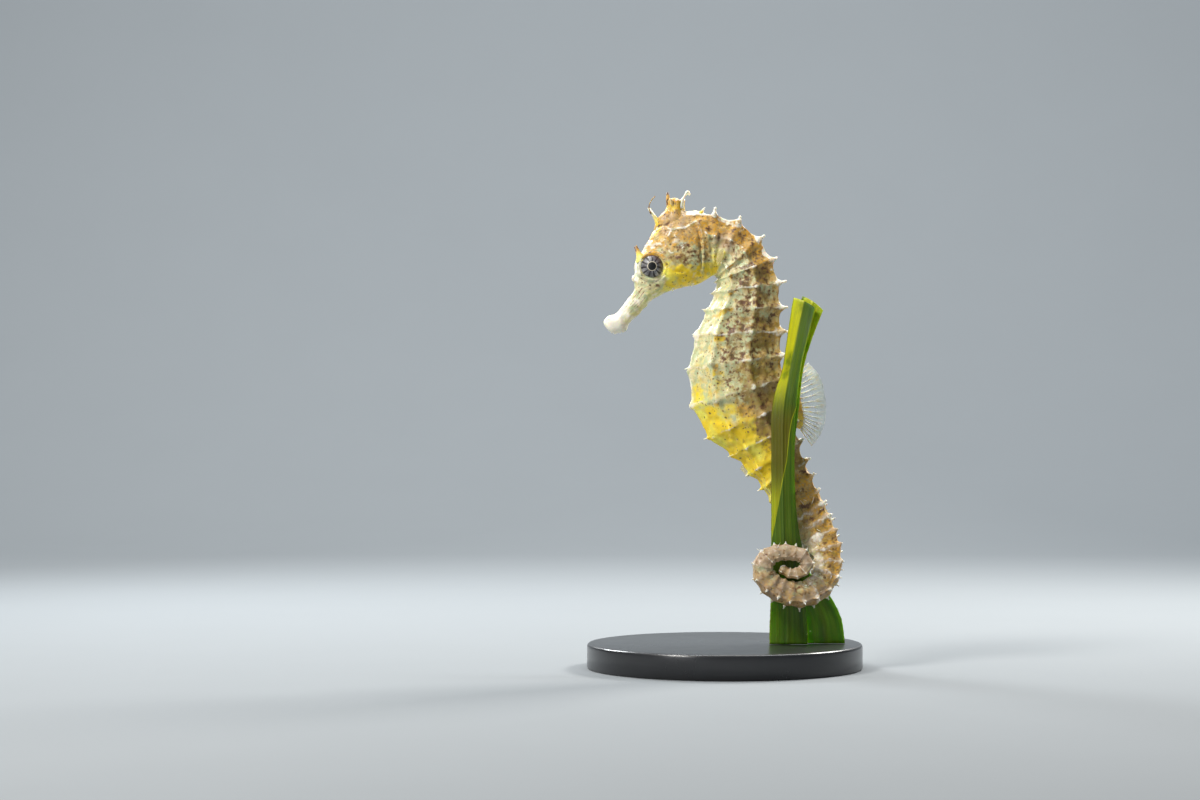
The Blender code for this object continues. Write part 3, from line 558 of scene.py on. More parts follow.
        brown = max(lerp(0.9, 1.15, bell(turn - 98, 16)) * rows
                    * smooth(130, 104, turn) * smooth(8.6, 6.8, count),
                    0.9 * bell(turn - 66, 10) * smooth(2.0, 3.2, count) * smooth(11.5, 9.5, count) * between,
                    0.9 * near(-0.1, 52, 0.26, 12) * smooth(5.0, 3.5, count),
                    0.8 * near(0.28, 44, 0.2, 8) * smooth(0.5, 1.5, count),
                    0.55 * smooth(128, 112, turn) * smooth(96, 110, turn) * smooth(8.0, 6.0, count),
                    0.5 * smooth(104, 84, turn) * smooth(24, 40, turn))
        olive = max(0.8 * smooth(36, 50, turn) * smooth(90, 70, turn) * smooth(1.0, 3.5, count)
                    * lerp(0.5, 1.0, between),
                    0.95 * smooth(110, 78, turn) * smooth(20, 34, turn) * smooth(6.4, 8.4, count),
                    0.5 * smooth(120, 98, turn) * smooth(2.0, 5.0, count))
        pink = max(0.8 * bell(math.hypot((count - 0.7) * 1.1, (turn - 78) * 0.045), 1.0),
                   0.5 * smooth(90, 60, turn) * smooth(5.0, 8.5, count) * (1 - between))
        blue = max(0.95 * near(-0.03, 92, 0.13, 16) * smooth(2.0, 3.5, count) * smooth(7.5, 6.0, count),
                   0.16 * smooth(104, 118, turn) * smooth(7.5, 5.5, count))
        dots = lerp(0.5, 0.95, smooth(70, 96, angle)) * smooth(172, 160, angle) * (1 - 0.6 * yellow)
        net = lerp(0.35, 1.0, smooth(125, 80, angle)) * (1 - 0.8 * yellow)
        return Dye(ochre, yellow, white, brown, pink, blue, olive, dots, net)

    def tail(self, place: float, angle: float, drift: Vector) -> Dye:
        """Finds the colours of the tail.

        Args:
            place: Counted in planes from the mouth.
            angle: Degrees from the back, up to 180 on either side.
            drift: How far the borders have wandered.

        Returns:
            The dye there.
        """
        share = (place - self.flesh.hip) / self.flesh.tail_rings
        off = place - round(place)
        slip = off + 0.22 * drift.z
        turn = angle + 12 * drift.y
        ring = bell(slip, 0.2)
        root = smooth(0.14, 0.02, share)
        coil = smooth(0.54, 0.64, share) * smooth(0.92, 0.84, share)
        lines = smooth(0.5, 0.6, share) * bell(off, 0.11)
        white = max(0.62 * ring * smooth(0.04, 0.12, share) * smooth(0.55, 0.4, share), 0.62 * lines,
                    0.8 * bell(angle - 45, 7) * bell(off, 0.2),
                    0.6 * smooth(84, 116, turn) * smooth(0.1, 0.2, share) * smooth(0.46, 0.34, share))
        ochre = lerp(0.45, 0.8, smooth(120, 60, turn)) * (1 - 0.6 * coil)
        yellow = 0.8 * root * smooth(70, 120, turn) + 0.12 * (1 - coil)
        dark = 0.8 if round(place) % 3 == 0 else 0.55
        brown = max(dark * smooth(0.1, 0.3, abs(slip)) * smooth(125, 85, turn) * smooth(12, 34, turn)
                    * smooth(0.5, 0.3, share), 0.4 * smooth(0.3, 0.45, share)) * (1 - 0.25 * coil)
        pink = max(0.85 * coil, 0.85 * ring * smooth(0.04, 0.14, share), 0.6 * smooth(0.2, 0.4, share))
        # The inner turn past the coil is painted darker olive, as shade inside the coil.
        olive = (0.4 * (1 - ring) + 0.1) * (1 - 0.6 * coil) + 0.5 * smooth(0.84, 0.9, share)
        return Dye(ochre, yellow, white, brown, pink, 0.0, olive, 0.15 * (1 - coil), 0.8 * (1 - 0.5 * coil))

    def at(self, place: float, angle: float, point: Vector) -> Dye:
        """Finds the colours anywhere on the body.

        Args:
            place: Counted in planes from the mouth.
            angle: Degrees once round from the back by the left.
            point: The spot itself.

        Returns:
            The dye there.
        """
        angle = min(angle, 360 - angle)
        place += self.flesh.sway(point)
        drift = self.drift(point, 1.5)
        neck = smooth(self.flesh.shoulder - 1.7, self.flesh.shoulder + 0.6, place + 0.3 * drift.x)
        hip = smooth(self.flesh.hip - 0.7, self.flesh.hip + 0.7, place + 0.3 * drift.x)
        if neck < 1:
            trunk = self.trunk(max(place, self.flesh.shoulder - 0.35), angle, drift)
            return self.head(point.x, point.z, drift).blend(trunk, neck)
        if hip <= 0:
            return self.trunk(place, angle, drift)
        return self.trunk(place, angle, drift).blend(self.tail(place, angle, drift), hip)


@dataclass
class Relief:
    """How far the skin stands out from its smooth form."""

    flesh: Flesh
    markings: Markings
    ring: float = 0.42
    ring_width: float = 0.07
    ridge: float = 0.3
    ridge_width: float = 0.2
    knob: float = 0.4
    tent: float = 0.75
    crease: float = 0.2
    swell: float = 0.22
    lump: float = 0.2
    wrinkle: float = 0.07
    gill_folds: float = 0.07

    def on_rings(self, place: float, turn: float) -> float:
        """Finds the height of rings and ridges.

        Args:
            place: Counted in planes from the mouth.
            turn: Counted in corners of the section from the back by the left.

        Returns:
            Height in millimetres.
        """
        off = abs(place - round(place))
        near = abs((turn % 2) - 1)
        tail = smooth(*self.flesh.hip_blend, place)
        corner = round((turn - 1) / 2) * 2 + 1
        weight = 1.0 if corner in (1, 5, 11, 15) else lerp(0.8, 0.15, tail)
        shrink = lerp(1.0, 0.35, smooth(self.flesh.hip, self.flesh.last, place))
        crest = bell(near, self.ridge_width) * weight
        ring = bell(off, lerp(self.ring_width, 0.14, tail))
        height = -self.flesh.waist(place) * (0.5 - 0.5 * math.cos(2 * math.pi * off)) * lerp(1.0, 0.5, crest)
        first = smooth(self.flesh.shoulder + 0.2, self.flesh.shoulder + 3.0, place)
        first *= lerp(1.0, 0.6, smooth(self.flesh.hip - 4.5, self.flesh.hip - 3, place))
        coil = smooth(self.flesh.hip + 8, self.flesh.hip + 13, place)
        height += self.ring * ring * lerp(0.6, 1.0, crest) * shrink * first * (1 - 0.2 * coil)
        height += self.ridge * crest * lerp(0.5, 1.0, bell(off, 0.35)) * shrink * (1 - 0.5 * coil)
        spread = math.hypot(off / 0.2, near / 0.42)
        tent = 0.0
        if corner in (1, 15):
            tent = self.tent * weight * (0.6 * bell(spread, 1.0) + 0.4 * bell(spread, 0.5))
        tent *= lerp(1.0, 0.25, smooth(self.flesh.hip, self.flesh.hip + 10, place))
        return height + (self.knob * (1 - 0.4 * coil) * crest * bell(off, 0.14) + tent) * shrink

    def on_head(self, x: float, z: float) -> float:
        """Finds the height of the head's lines, grooves and gill folds.

        Args:
            x: Place in the side view.
            z: Height.

        Returns:
            Height in millimetres.
        """
        marks = self.markings
        height = sum(high * bell(from_line(x, z, line), width) for line, width, high, _ in marks.lines)
        height -= sum(deep * bell(from_line(x, z, line), width) for line, width, deep in marks.grooves)
        fan = math.atan2(z - 97.0, x + 13.5)
        cover = bell(math.hypot(x + 9.5, z - 99.0), 3.2)
        crest = 0.5 - abs(noise.noise(Vector((x, 3.0, z)) * 0.7))
        height += self.crease * crest * smooth(88, 92, z)
        return height + cover * (0.25 + self.gill_folds * math.sin(fan * 26))

    def at(self, place: float, turn: float, point: Vector) -> float:
        """Finds the height anywhere on the body.

        Args:
            place: Counted in planes from the mouth.
            turn: Counted in corners of the section from the back by the left.
            point: The spot on the smooth form.

        Returns:
            Height in millimetres.
        """
        neck = smooth(self.flesh.shoulder - 0.8, self.flesh.shoulder + 0.05, place)
        throat = bell(place - self.flesh.shoulder, 2.2) * smooth(4.0, 6.2, 7 - abs(turn - 7))
        height = 0.0
        if neck > 0:
            uneven = (1 + 0.5 * noise.noise(point * 0.9)) * (1 - 0.9 * throat)
            height += neck * uneven * self.on_rings(place + self.flesh.sway(point), turn)
        if neck < 1:
            height += (1 - neck) * self.on_head(point.x, point.z)
        shrink = lerp(1.0, 0.45, smooth(self.flesh.hip, self.flesh.last, place)) * smooth(-0.5, 3.0, place)
        height += self.swell * shrink * noise.noise(point * 0.33)
        height += self.lump * shrink * noise.noise(point * 0.8)
        return height + self.wrinkle * shrink * noise.noise(point * 2.3)


@dataclass
class NodeBook:
    """A material's nodes, written one under the other."""

    name: str

    def __post_init__(self) -> None:
        """Starts the material with its shader."""
        self.material = bpy.data.materials.new(self.name)
        self.material.use_nodes = True
        self.tree = self.material.node_tree
        self.shader = self.tree.nodes["Principled BSDF"]
        self.spot = self.add("ShaderNodeTexCoord").outputs["Object"]
        self.colour = None

    def add(self, kind: str, inputs: dict | None = None, **settings) -> bpy.types.Node:
        """Adds a node.

        Args:
            kind: The node's type.
            inputs: What feeds its sockets, by name or number.
            **settings: Its settings by name.

        Returns:
            The node.
        """
        node = self.tree.nodes.new(kind)
        for key, value in settings.items():
            setattr(node, key, value)
        for key, value in (inputs or {}).items():
            self.feed(node.inputs[key], value)
        return node

    def feed(self, socket: bpy.types.NodeSocket, value) -> None:
        """Links a socket to another node's output, or sets its value."""
        if isinstance(value, bpy.types.NodeSocket):
            self.tree.links.new(value, socket)
        elif isinstance(value, tuple) and len(value) == 3 and socket.type == "RGBA":
            socket.default_value = (*value, 1.0)
        else:
            socket.default_value = value

    def set(self, **values) -> None:
        """Sets sockets of the shader, with _ for each space of a name."""
        for key, value in values.items():
            self.feed(self.shader.inputs[key.replace("_", " ")], value)

    def noise(self, scale: float, detail: float = 2.0, vector=None,
              roughness: float = 0.5) -> bpy.types.NodeSocket:
        """Adds soft noise.

        Args:
            scale: Number of lumps in a metre.
            detail: How many finer layers it has.
            vector: Where it is read, or the object's own coordinates.
            roughness: Strength of the finer layers.

        Returns:
            A value about 0.5.
        """
        inputs = {"Vector": vector or self.spot, "Scale": scale, "Detail": detail, "Roughness": roughness}
        return self.add("ShaderNodeTexNoise", inputs).outputs["Fac"]

    def cells(self, scale: float, feature: str = "F1", vector=None) -> bpy.types.Node:
        """Adds a pattern of cells.

        Args:
            scale: Number of cells in a metre.
            feature: What is measured in each.
            vector: Where it is read, or the object's own coordinates.

        Returns:
            The node.
        """
        inputs = {"Vector": vector or self.spot, "Scale": scale}
        return self.add("ShaderNodeTexVoronoi", inputs, feature=feature)

    def sum(self, operation: str, a, b=0.5, c=0.5) -> bpy.types.NodeSocket:
        """Adds arithmetic on values.

        Args:
            operation: Which one, such as "MULTIPLY".
            a: First value.
            b: Second value.
            c: Third value.

        Returns:
            The result.
        """
        return self.add("ShaderNodeMath", {0: a, 1: b, 2: c}, operation=operation).outputs[0]

    def times(self, a, b) -> bpy.types.NodeSocket:
        """Multiplies two values."""
        return self.sum("MULTIPLY", a, b)

    def step(self, value, low: float, high: float, top: float = 1.0) -> bpy.types.NodeSocket:
        """Adds a soft step.

        Args:
            value: What is stepped.
            low: Where it leaves zero.
            high: Where it reaches the top.
            top: The highest result.

        Returns:
            The result.
        """
        inputs = {"Value": value, "From Min": low, "From Max": high, "To Max": top}
        return self.add("ShaderNodeMapRange", inputs, interpolation_type="SMOOTHSTEP").outputs["Result"]

    def mix(self, share, a, b) -> bpy.types.NodeSocket:
        """Adds a mix of two colours.

        Args:
            share: How much of the second.
            a: First colour.
            b: Second colour.

        Returns:
            The colour.
        """
        return self.add("ShaderNodeMix", {0: share, 6: a, 7: b}, data_type="RGBA").outputs[2]

    def paint(self, share, colour) -> None:
        """Lays a colour over the ones painted before, as strongly as the share says."""
        self.colour = self.mix(share, self.colour, colour)

    def zone(self, name: str) -> tuple:
        """Reads the three strengths that a colour layer of the mesh holds."""
        return self.parts(self.add("ShaderNodeAttribute", attribute_name=name).outputs["Color"])

    def parts(self, colour: bpy.types.NodeSocket) -> tuple:
        """Splits a colour or vector into its three values."""
        return tuple(self.add("ShaderNodeSeparateXYZ", {0: colour}).outputs)

    def vector(self, x, y, z=0.0) -> bpy.types.NodeSocket:
        """Joins three values into a vector."""
        return self.add("ShaderNodeCombineXYZ", {0: x, 1: y, 2: z}).outputs[0]

    def bump(self, height, strength: float, distance: float) -> None:
        """Makes the surface rise with a value.

        Args:
            height: The value.
            strength: How strongly it shows.
            distance: Rise in metres from 0 to 1.
        """
        node = self.add("ShaderNodeBump", {"Strength": strength, "Distance": distance, "Height": height})
        self.feed(self.shader.inputs["Normal"], node.outputs[0])


@dataclass(frozen=True)
class SkinFinish:
    """Mottled translucent skin over bony rings, in the colours that the mesh carries."""

    cream: Colour = (0.76, 0.69, 0.40)
    green: Colour = (0.52, 0.57, 0.32)
    ochre: Colour = (0.69, 0.35, 0.018)
    tan: Colour = (0.52, 0.33, 0.11)
    yellow: Colour = (0.90, 0.64, 0.012)
    lemon: Colour = (0.87, 0.78, 0.10)
    white: Colour = (0.88, 0.83, 0.68)
    maroon: Colour = (0.12, 0.048, 0.022)
    brown: Colour = (0.27, 0.145, 0.045)
    olive: Colour = (0.27, 0.185, 0.035)
    pink: Colour = (0.47, 0.34, 0.22)
    blue: Colour = (0.50, 0.60, 0.48)
    pepper: Colour = (0.105, 0.070, 0.022)
    dots: float = 1050.0
    specks: float = 1500.0

    def build(self) -> bpy.types.Material:
        """Makes the material."""
        book = NodeBook("seahorse skin")
        patchy = book.noise(620, 3.0, roughness=0.62)
        ragged = book.noise(880, 2.0, roughness=0.5)
        fine = book.noise(1900, 2.0)
        broad = book.noise(150, 2.0)
        ochre, yellow, white = book.zone(ZONES[0])
        brown, pink, blue = book.zone(ZONES[1])
        olive, dots, net = book.zone(ZONES[2])
        drift = book.sum("SUBTRACT", book.noise(230, 4.0, roughness=0.68), 0.5)

        def patch(mask: bpy.types.NodeSocket, spread: float, low: float, high: float) -> bpy.types.NodeSocket:
            """A zone with ragged edges."""
            rough = book.sum("MULTIPLY_ADD", book.sum("SUBTRACT", patchy, 0.5), spread, mask)
            return book.step(book.sum("MULTIPLY_ADD", drift, 1.3, rough), low, high)

        book.colour = book.mix(book.step(patchy, 0.4, 0.6), self.green, self.cream)
        book.paint(patch(blue, 1.2, 0.25, 0.9), self.blue)
        warm = book.mix(book.step(fine, 0.35, 0.6), self.tan, self.ochre)
        book.paint(patch(ochre, 1.0, 0.2, 0.8), warm)
        bright = book.mix(book.step(broad, 0.4, 0.6), self.yellow, self.lemon)
        book.paint(patch(yellow, 0.8, 0.1, 0.85), bright)
        book.paint(book.times(patch(olive, 1.3, 0.35, 0.75), 0.85), self.olive)
        book.paint(patch(pink, 0.9, 0.2, 0.85), self.pink)
        mottle = book.step(book.noise(480, 3.0, roughness=0.6), 0.47, 0.62, 0.6)
        book.paint(book.times(mottle, net), self.tan)
        dark = book.mix(book.step(book.noise(330, 1.0), 0.5, 0.62), self.maroon, self.pepper)
        clump = book.sum("MULTIPLY_ADD", book.sum("SUBTRACT", ragged, 0.5), 3.6, brown)
        book.paint(book.step(clump, 0.5, 1.05, 0.8), self.brown)
        book.paint(book.step(clump, 0.88, 1.2, 0.9), dark)
        shift = book.vector(*(book.times(value, 0.0012) for value in (patchy, ragged, fine)))
        bent = book.add("ShaderNodeVectorMath", {0: book.spot, 1: shift}, operation="ADD")
        mesh = book.cells(620, "DISTANCE_TO_EDGE", bent.outputs[0]).outputs["Distance"]
        lines = book.times(book.step(mesh, 0.1, 0.02), book.step(ragged, 0.42, 0.56, 0.6))
        book.paint(book.times(lines, net), self.brown)
        book.paint(self.spots(book, dots, self.specks, 0.32, 0.4), self.brown)
        book.paint(self.spots(book, dots, self.dots, 0.27, 0.3), self.pepper)
        book.paint(patch(white, 1.0, 0.45, 0.9), self.white)
        book.set(Base_Color=book.colour, Roughness=book.step(fine, 0.0, 1.0, 1.0), Subsurface_Weight=0.25,
                 Subsurface_Radius=(0.0011, 0.0007, 0.0003), Subsurface_Scale=1.0, Coat_Weight=0.06,
                 Coat_Roughness=0.4)
        book.bump(book.sum("ADD", fine, book.times(patchy, 2.0)), 0.6, 0.0001)
        return book.material

    def spots(self, book: NodeBook, mask: bpy.types.NodeSocket, scale: float, size: float,
              crowd: float) -> bpy.types.NodeSocket:
        """Adds scattered dark dots.

        Args:
            book: The material's nodes.
            mask: How many there are, from 0 to 1.
            scale: Number of dots in a metre, were there one in each cell.
            size: Radius of a dot as a share of a cell.
            crowd: Part of the cells that have a dot where the mask is 1.

        Returns:
            Strength of the dots.
        """
        cells = book.cells(scale)
        lot, own_size, _ = book.parts(cells.outputs["Color"])
        chosen = book.sum("LESS_THAN", lot, book.times(mask, crowd))
        ragged = book.sum("MULTIPLY_ADD", book.noise(scale * 1.8, 2.0), 0.9, cells.outputs["Distance"])
        own = book.sum("MULTIPLY_ADD", own_size, 0.24, 0.12)
        spot = book.step(book.sum("SUBTRACT", ragged, own), size + 0.2, size + 0.02)
        return book.times(spot, book.times(chosen, 0.9))


@dataclass(frozen=True)
class EyeFinish:
    """A black pupil, a cream ring and a dark iris with pale spokes and painted shade at its upper back, seen
    from either side.
    """

    pupil: float = 1.0
    ring: float = 1.16
    spokes: int = 11

    def build(self) -> bpy.types.Material:
        """Makes the material."""
        book = NodeBook("seahorse iris")
        x, _, z = book.parts(book.spot)
        x = book.sum("SUBTRACT", x, EYE_X * MM)
        z = book.sum("SUBTRACT", z, EYE_Z * MM)
        far = book.sum("SQRT", book.sum("ADD", book.times(x, x), book.times(z, z)))
        around = book.sum("ARCTAN2", z, x)
        polar = book.vector(book.times(around, 1.1), book.times(far, 900.0), 0.0)
        blotch = book.noise(1.6, 3.0, polar, 0.65)
        wave = book.sum("MULTIPLY_ADD", book.noise(420, 2.0), 3.4, book.times(around, self.spokes))
        spoke = book.sum("COSINE", wave)
        dark = book.times(book.step(spoke, 0.45, 0.8), book.step(far, 2.9 * MM, 2.3 * MM, 0.95))
        wedge = book.times(book.step(spoke, 0.5, 0.1), book.step(far, 3.0 * MM, 2.5 * MM, 0.85))
        book.colour = book.mix(book.step(blotch, 0.4, 0.62), (0.05, 0.042, 0.045), (0.20, 0.19, 0.18))
        silver = book.mix(book.step(blotch, 0.35, 0.6), (0.16, 0.16, 0.17), (0.40, 0.39, 0.38))
        silver = book.mix(book.step(book.noise(380, 1.0), 0.4, 0.62, 0.8), silver, (0.07, 0.065, 0.07))
        book.paint(wedge, silver)
        book.paint(dark, (0.015, 0.010, 0.012))
        # Painted shade darkening the iris towards its upper back edge.
        shade = book.step(book.sum("ADD", x, z), 1.0 * MM, 3.2 * MM, 0.8)
        book.paint(shade, (0.06, 0.03, 0.04))
        book.paint(book.step(far, self.ring * MM, (self.ring - 0.07) * MM), (0.75, 0.66, 0.48))
        book.paint(book.step(far, (self.pupil + 0.04) * MM, (self.pupil - 0.04) * MM), (0.002, 0.002, 0.003))
        book.set(Base_Color=book.colour, Roughness=0.4, Coat_Weight=0.22, Coat_Roughness=0.1)
        book.bump(blotch, 0.4, 0.0001)
        return book.material


@dataclass(frozen=True)
class MembraneFinish:
    """Thin clear skin between the rays of a fin, whiter towards the free edge."""

    tint: Colour
    milk: Colour = (0.80, 0.86, 0.88)
    name: str = "fin membrane"
    clear: float = 0.18
    milky: float = 0.46

    def build(self) -> bpy.types.Material:
        """Makes the material."""
        book = NodeBook(self.name)
        edge, _, _ = book.zone(ZONES[0])
        thick = book.sum("MULTIPLY_ADD", book.step(edge, 0.35, 0.95), self.milky - self.clear, self.clear)
        grain = book.step(book.noise(1400, 2.0), 0.35, 0.7, 0.1)
        book.set(Base_Color=book.mix(edge, self.tint, self.milk), Roughness=0.3,
                 Alpha=book.sum("ADD", thick, grain), Coat_Weight=0.2)
        book.bump(book.noise(1500, 1.0), 0.3, 0.0001)
        return book.material


@dataclass(frozen=True)
class RayFinish:
    """Bony rays of a fin, cream with yellow spots."""

    name: str = "fin rays"
    cream: Colour = (0.92, 0.90, 0.80)
    spot: Colour = (0.80, 0.58, 0.08)

    def build(self) -> bpy.types.Material:
        """Makes the material."""
        book = NodeBook(self.name)
        colour = book.mix(book.step(book.noise(420, 2.0), 0.56, 0.68), self.cream, self.spot)
        book.set(Base_Color=colour, Roughness=0.4, Subsurface_Weight=0.3,
                 Subsurface_Radius=(0.0008, 0.0006, 0.0004))
        book.bump(book.noise(2500, 1.0), 0.3, 0.00005)
        return book.material


@dataclass(frozen=True)
class LeafFinish:
    """Wet strap-shaped leaf with fine veins along it, and patches of painted sunlight."""

    name: str
    dark: Colour = (0.022, 0.062, 0.002)
    green: Colour = (0.125, 0.205, 0.003)
    bright: Colour = (0.54, 0.52, 0.008)
    brown: Colour = (0.12, 0.10, 0.003)
    pale: Colour = (0.70, 0.70, 0.40)

    def build(self) -> bpy.types.Material:
        """Makes the material."""
        book = NodeBook(self.name)
        bright, brown, dark = book.zone(ZONES[0])
        u, v, beyond = book.zone(ZONES[1])
        veins = book.noise(1.0, 3.0, book.vector(book.times(u, 70.0), book.times(v, 5.0)))
        bands = book.noise(1.0, 1.0, book.vector(book.times(u, 4.0), book.times(v, 4.0)))
        clouds = book.noise(150, 4.0, roughness=0.6)
        book.colour = book.mix(book.step(bands, 0.35, 0.65, 0.6), self.green, self.dark)
        book.paint(book.times(dark, 0.85), self.dark)
        inside = book.step(beyond, 0.52, 0.48)
        # Painted sunlight in cloudy patches on the upper part of the leaf.
        sunny = book.times(bright, book.step(clouds, 0.25, 0.55, 0.95))
        book.paint(sunny, self.bright)
        book.paint(book.times(inside, book.step(v, 0.59, 0.51, 0.7)), self.bright)
        book.paint(book.times(inside, brown), self.brown)
        crease = book.step(book.sum("ABSOLUTE", book.sum("SUBTRACT", beyond, 0.53)), 0.035, 0.01, 0.7)
        book.paint(crease, self.bright)
        book.paint(book.step(u, 0.05, 0.01, 0.8), self.brown)
        book.paint(book.step(veins, 0.42, 0.62, 0.28), self.dark)
        threads = book.noise(1.0, 2.0, book.vector(book.times(u, 100.0), v))
        book.paint(book.step(threads, 0.56, 0.66, 0.2), self.bright)
        cells = book.cells(520)
        lone = book.step(book.parts(cells.outputs["Color"])[1], 0.91, 0.93)
        speck = book.times(book.step(cells.outputs["Distance"], 0.14, 0.07), lone)
        book.paint(speck, self.pale)
        book.set(Base_Color=book.colour, Roughness=book.step(veins, 0.0, 0.9, 0.6), Specular_IOR_Level=0.25,
                 Coat_Weight=0.08, Coat_Roughness=0.3,
                 Subsurface_Weight=0.2, Subsurface_Radius=(0.0006, 0.0012, 0.0002), Subsurface_Scale=1.0)
        book.bump(book.sum("ADD", veins, book.times(clouds, 0.7)), 0.6, 0.00012)
        return book.material


@dataclass(frozen=True)
class AcrylicFinish:
    """Satin black acrylic with a trace of fine wear."""

    def build(self) -> bpy.types.Material:
        """Makes the material."""
        book = NodeBook("stand acrylic")
        haze = book.noise(60, 4.0, roughness=0.7)
        book.set(Base_Color=book.mix(haze, (0.010, 0.010, 0.011), (0.022, 0.022, 0.024)),
                 Roughness=book.sum("MULTIPLY_ADD", haze, 0.2, 0.2), Coat_Weight=0.3, Coat_Roughness=0.1)
        book.bump(book.noise(3000, 1.0), 0.15, 0.00002)
        return book.material


@dataclass(frozen=True)
class SteelFinish:
    """Brushed stainless steel, brushed round the rod."""

    def build(self) -> bpy.types.Material:
        """Makes the material."""
        book = NodeBook("stand steel")
        x, y, z = book.parts(book.spot)
        brush = book.noise(1.0, 2.0, book.vector(book.times(x, 90.0), book.times(y, 90.0),
                                                 book.times(z, 6000.0)))
        book.set(Base_Color=book.mix(brush, (0.50, 0.51, 0.53), (0.68, 0.69, 0.70)), Metallic=1.0,
                 Roughness=book.sum("MULTIPLY_ADD", brush, 0.25, 0.2))
        book.bump(brush, 0.2, 0.00002)
        return book.material


@dataclass(frozen=True)
class SheetDye:
    """Strengths from 0 to 1 of a thin sheet's colours at a spot: of a leaf or of a fin."""

    bright: float = 0.0
    brown: float = 0.0
    dark: float = 0.0
    across: float = 0.0
    along: float = 0.0
    beyond: float = 1.0

    def threes(self) -> list[tuple[float, ...]]:
        """The strengths for the mesh's first colour layer, and the place on the sheet for the second."""
        return [(self.bright, self.brown, self.dark, 1.0), (self.across, self.along, self.beyond, 1.0)]


@dataclass
class Workshop:
    """Turns a bmesh into a finished piece that rides on the model's body."""

    material: bpy.types.Material
    body: ClassVar[str] = "root"

    def finish(self, name: str, bm: bmesh.types.BMesh, slot: Slot, replaced: Iterable[str] = (),
               material: bpy.types.Material | None = None) -> None:
        """Makes the piece.

        Args:
            name: The piece's name.
            bm: Its shape in millimetres.
            slot: Its material slot; not used.
            replaced: Nodes of the frame that it stands for.
            material: Its finish, if it isn't the maker's usual one.
        """
        bmesh.ops.scale(bm, vec=(MM, MM, MM), verts=bm.verts)
        mesh = bpy.data.meshes.new(name)
        bm.to_mesh(mesh)
        bm.free()
        mesh.shade_smooth()
        mesh.materials.append(material or self.material)
        made = bpy.data.objects.new(name, mesh)
        bpy.context.scene.collection.objects.link(made)
        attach(made, self.body)
        nodes = list(replaced)
        if nodes:
            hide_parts(*nodes)
        LOG.info("%s: %d faces", name, len(mesh.polygons))

    @staticmethod
    def weave(bm: bmesh.types.BMesh, rows: Sequence[Sequence[Vector]],
              dye: Callable[[int, int], Dye | SheetDye] | None = None) -> None:
        """Adds a sheet through rows of points, welded where points meet.

        Args:
            bm: The shape that it joins.
            rows: Rows of equal length, each closed on itself if its first point is its last too.
            dye: Gives the dye at a row and a column, where there is one.
        """
        layers = Workshop.zones(bm)
        verts = bmesh.ops.create_grid(bm, x_segments=len(rows[0]) - 1, y_segments=len(rows) - 1)["verts"]
        for vert, point in zip(verts, (point for row in rows for point in row)):
            vert.co = point
        if dye:
            for index, vert in enumerate(verts):
                for layer, three in zip(layers, dye(*divmod(index, len(rows[0]))).threes()):
                    vert[layer] = three
        faces = list({face for vert in verts for face in vert.link_faces})
        bmesh.ops.remove_doubles(bm, verts=verts, dist=WELD)
        bmesh.ops.recalc_face_normals(bm, faces=[face for face in faces if face.is_valid])

    @staticmethod
    def zones(bm: bmesh.types.BMesh) -> tuple:
        """The layers that carry the skin's dyes."""
        layers = bm.verts.layers.float_color
        return tuple(layers.get(name) or layers.new(name) for name in ZONES)

    @staticmethod
    def ring(middle: Vector, along: Vector, radius: float, sides: int) -> list[Vector]:
        """Lays a closed round row of points.

        Args:
            middle: Its centre.
            along: The direction that it faces.
            radius: Its radius.
            sides: Number of points.

        Returns:
            The points, the first one twice.
        """
        across = along.cross(Vector(ASKEW)).normalized()
        other = along.cross(across).normalized()
        return [middle + (across * math.cos(a) + other * math.sin(a)) * radius for a in round_turns(sides)]

    def strand(self, bm: bmesh.types.BMesh, points: Sequence[Vector], radii: Sequence[float], sides: int,
               dye: Dye | None = None) -> None:
        """Adds a round strand with closed ends.

        Args:
            bm: The shape that it joins.
            points: Its middle line.
            radii: Its radius at each point.
            sides: Number of sides.
            dye: Its dye, if it has one.
        """
        rows = [[points[0]] * (sides + 1)]
        for i, (point, radius) in enumerate(zip(points, radii)):
            along = (points[min(i + 1, len(points) - 1)] - points[max(i - 1, 0)]).normalized()
            rows.append(self.ring(point, along, radius, sides))
        rows.append([points[-1]] * (sides + 1))
        self.weave(bm, rows, (lambda row, column: dye) if dye else None)

    def tube(self, bm: bmesh.types.BMesh, line: Sequence[Vector], radii: Sequence[float], dye: Dye,
             sides: int = 10, closeness: int = 3, ripple: float = 0.0) -> None:
        """Adds a strand along a smooth curve.

        Args:
            bm: The shape that it joins.
            line: Points that its middle line passes.
            radii: Its radius at each of them.
            dye: Its dye.
            sides: Number of sides.
            closeness: Number of steps from one point to the next.
            ripple: How much it swells and narrows by turns, as a share.
        """
        steps = range(closeness * (len(line) - 1) + 1)
        sizes = [through(radii, i / closeness) * (1 + ripple * math.sin(i * 1.3)) for i in steps]
        self.strand(bm, [through(line, i / closeness) for i in steps], sizes, sides, dye)

    def sheet_solid(self, sheets: Iterable[Sequence[Sequence[Vector]]],
                    dye: Callable[[int, int], SheetDye]) -> bmesh.types.BMesh:
        """Makes a thin solid from a front and a back sheet.

        Args:
            sheets: The rows of points of each.
            dye: Gives the dye at a row and a column.

        Returns:
            The shape.
        """
        bm = bmesh.new()
        for rows in sheets:
            self.weave(bm, rows, dye)
        bmesh.ops.bridge_loops(bm, edges=[edge for edge in bm.edges if edge.is_boundary])
        bmesh.ops.recalc_face_normals(bm, faces=bm.faces[:])
        return bm


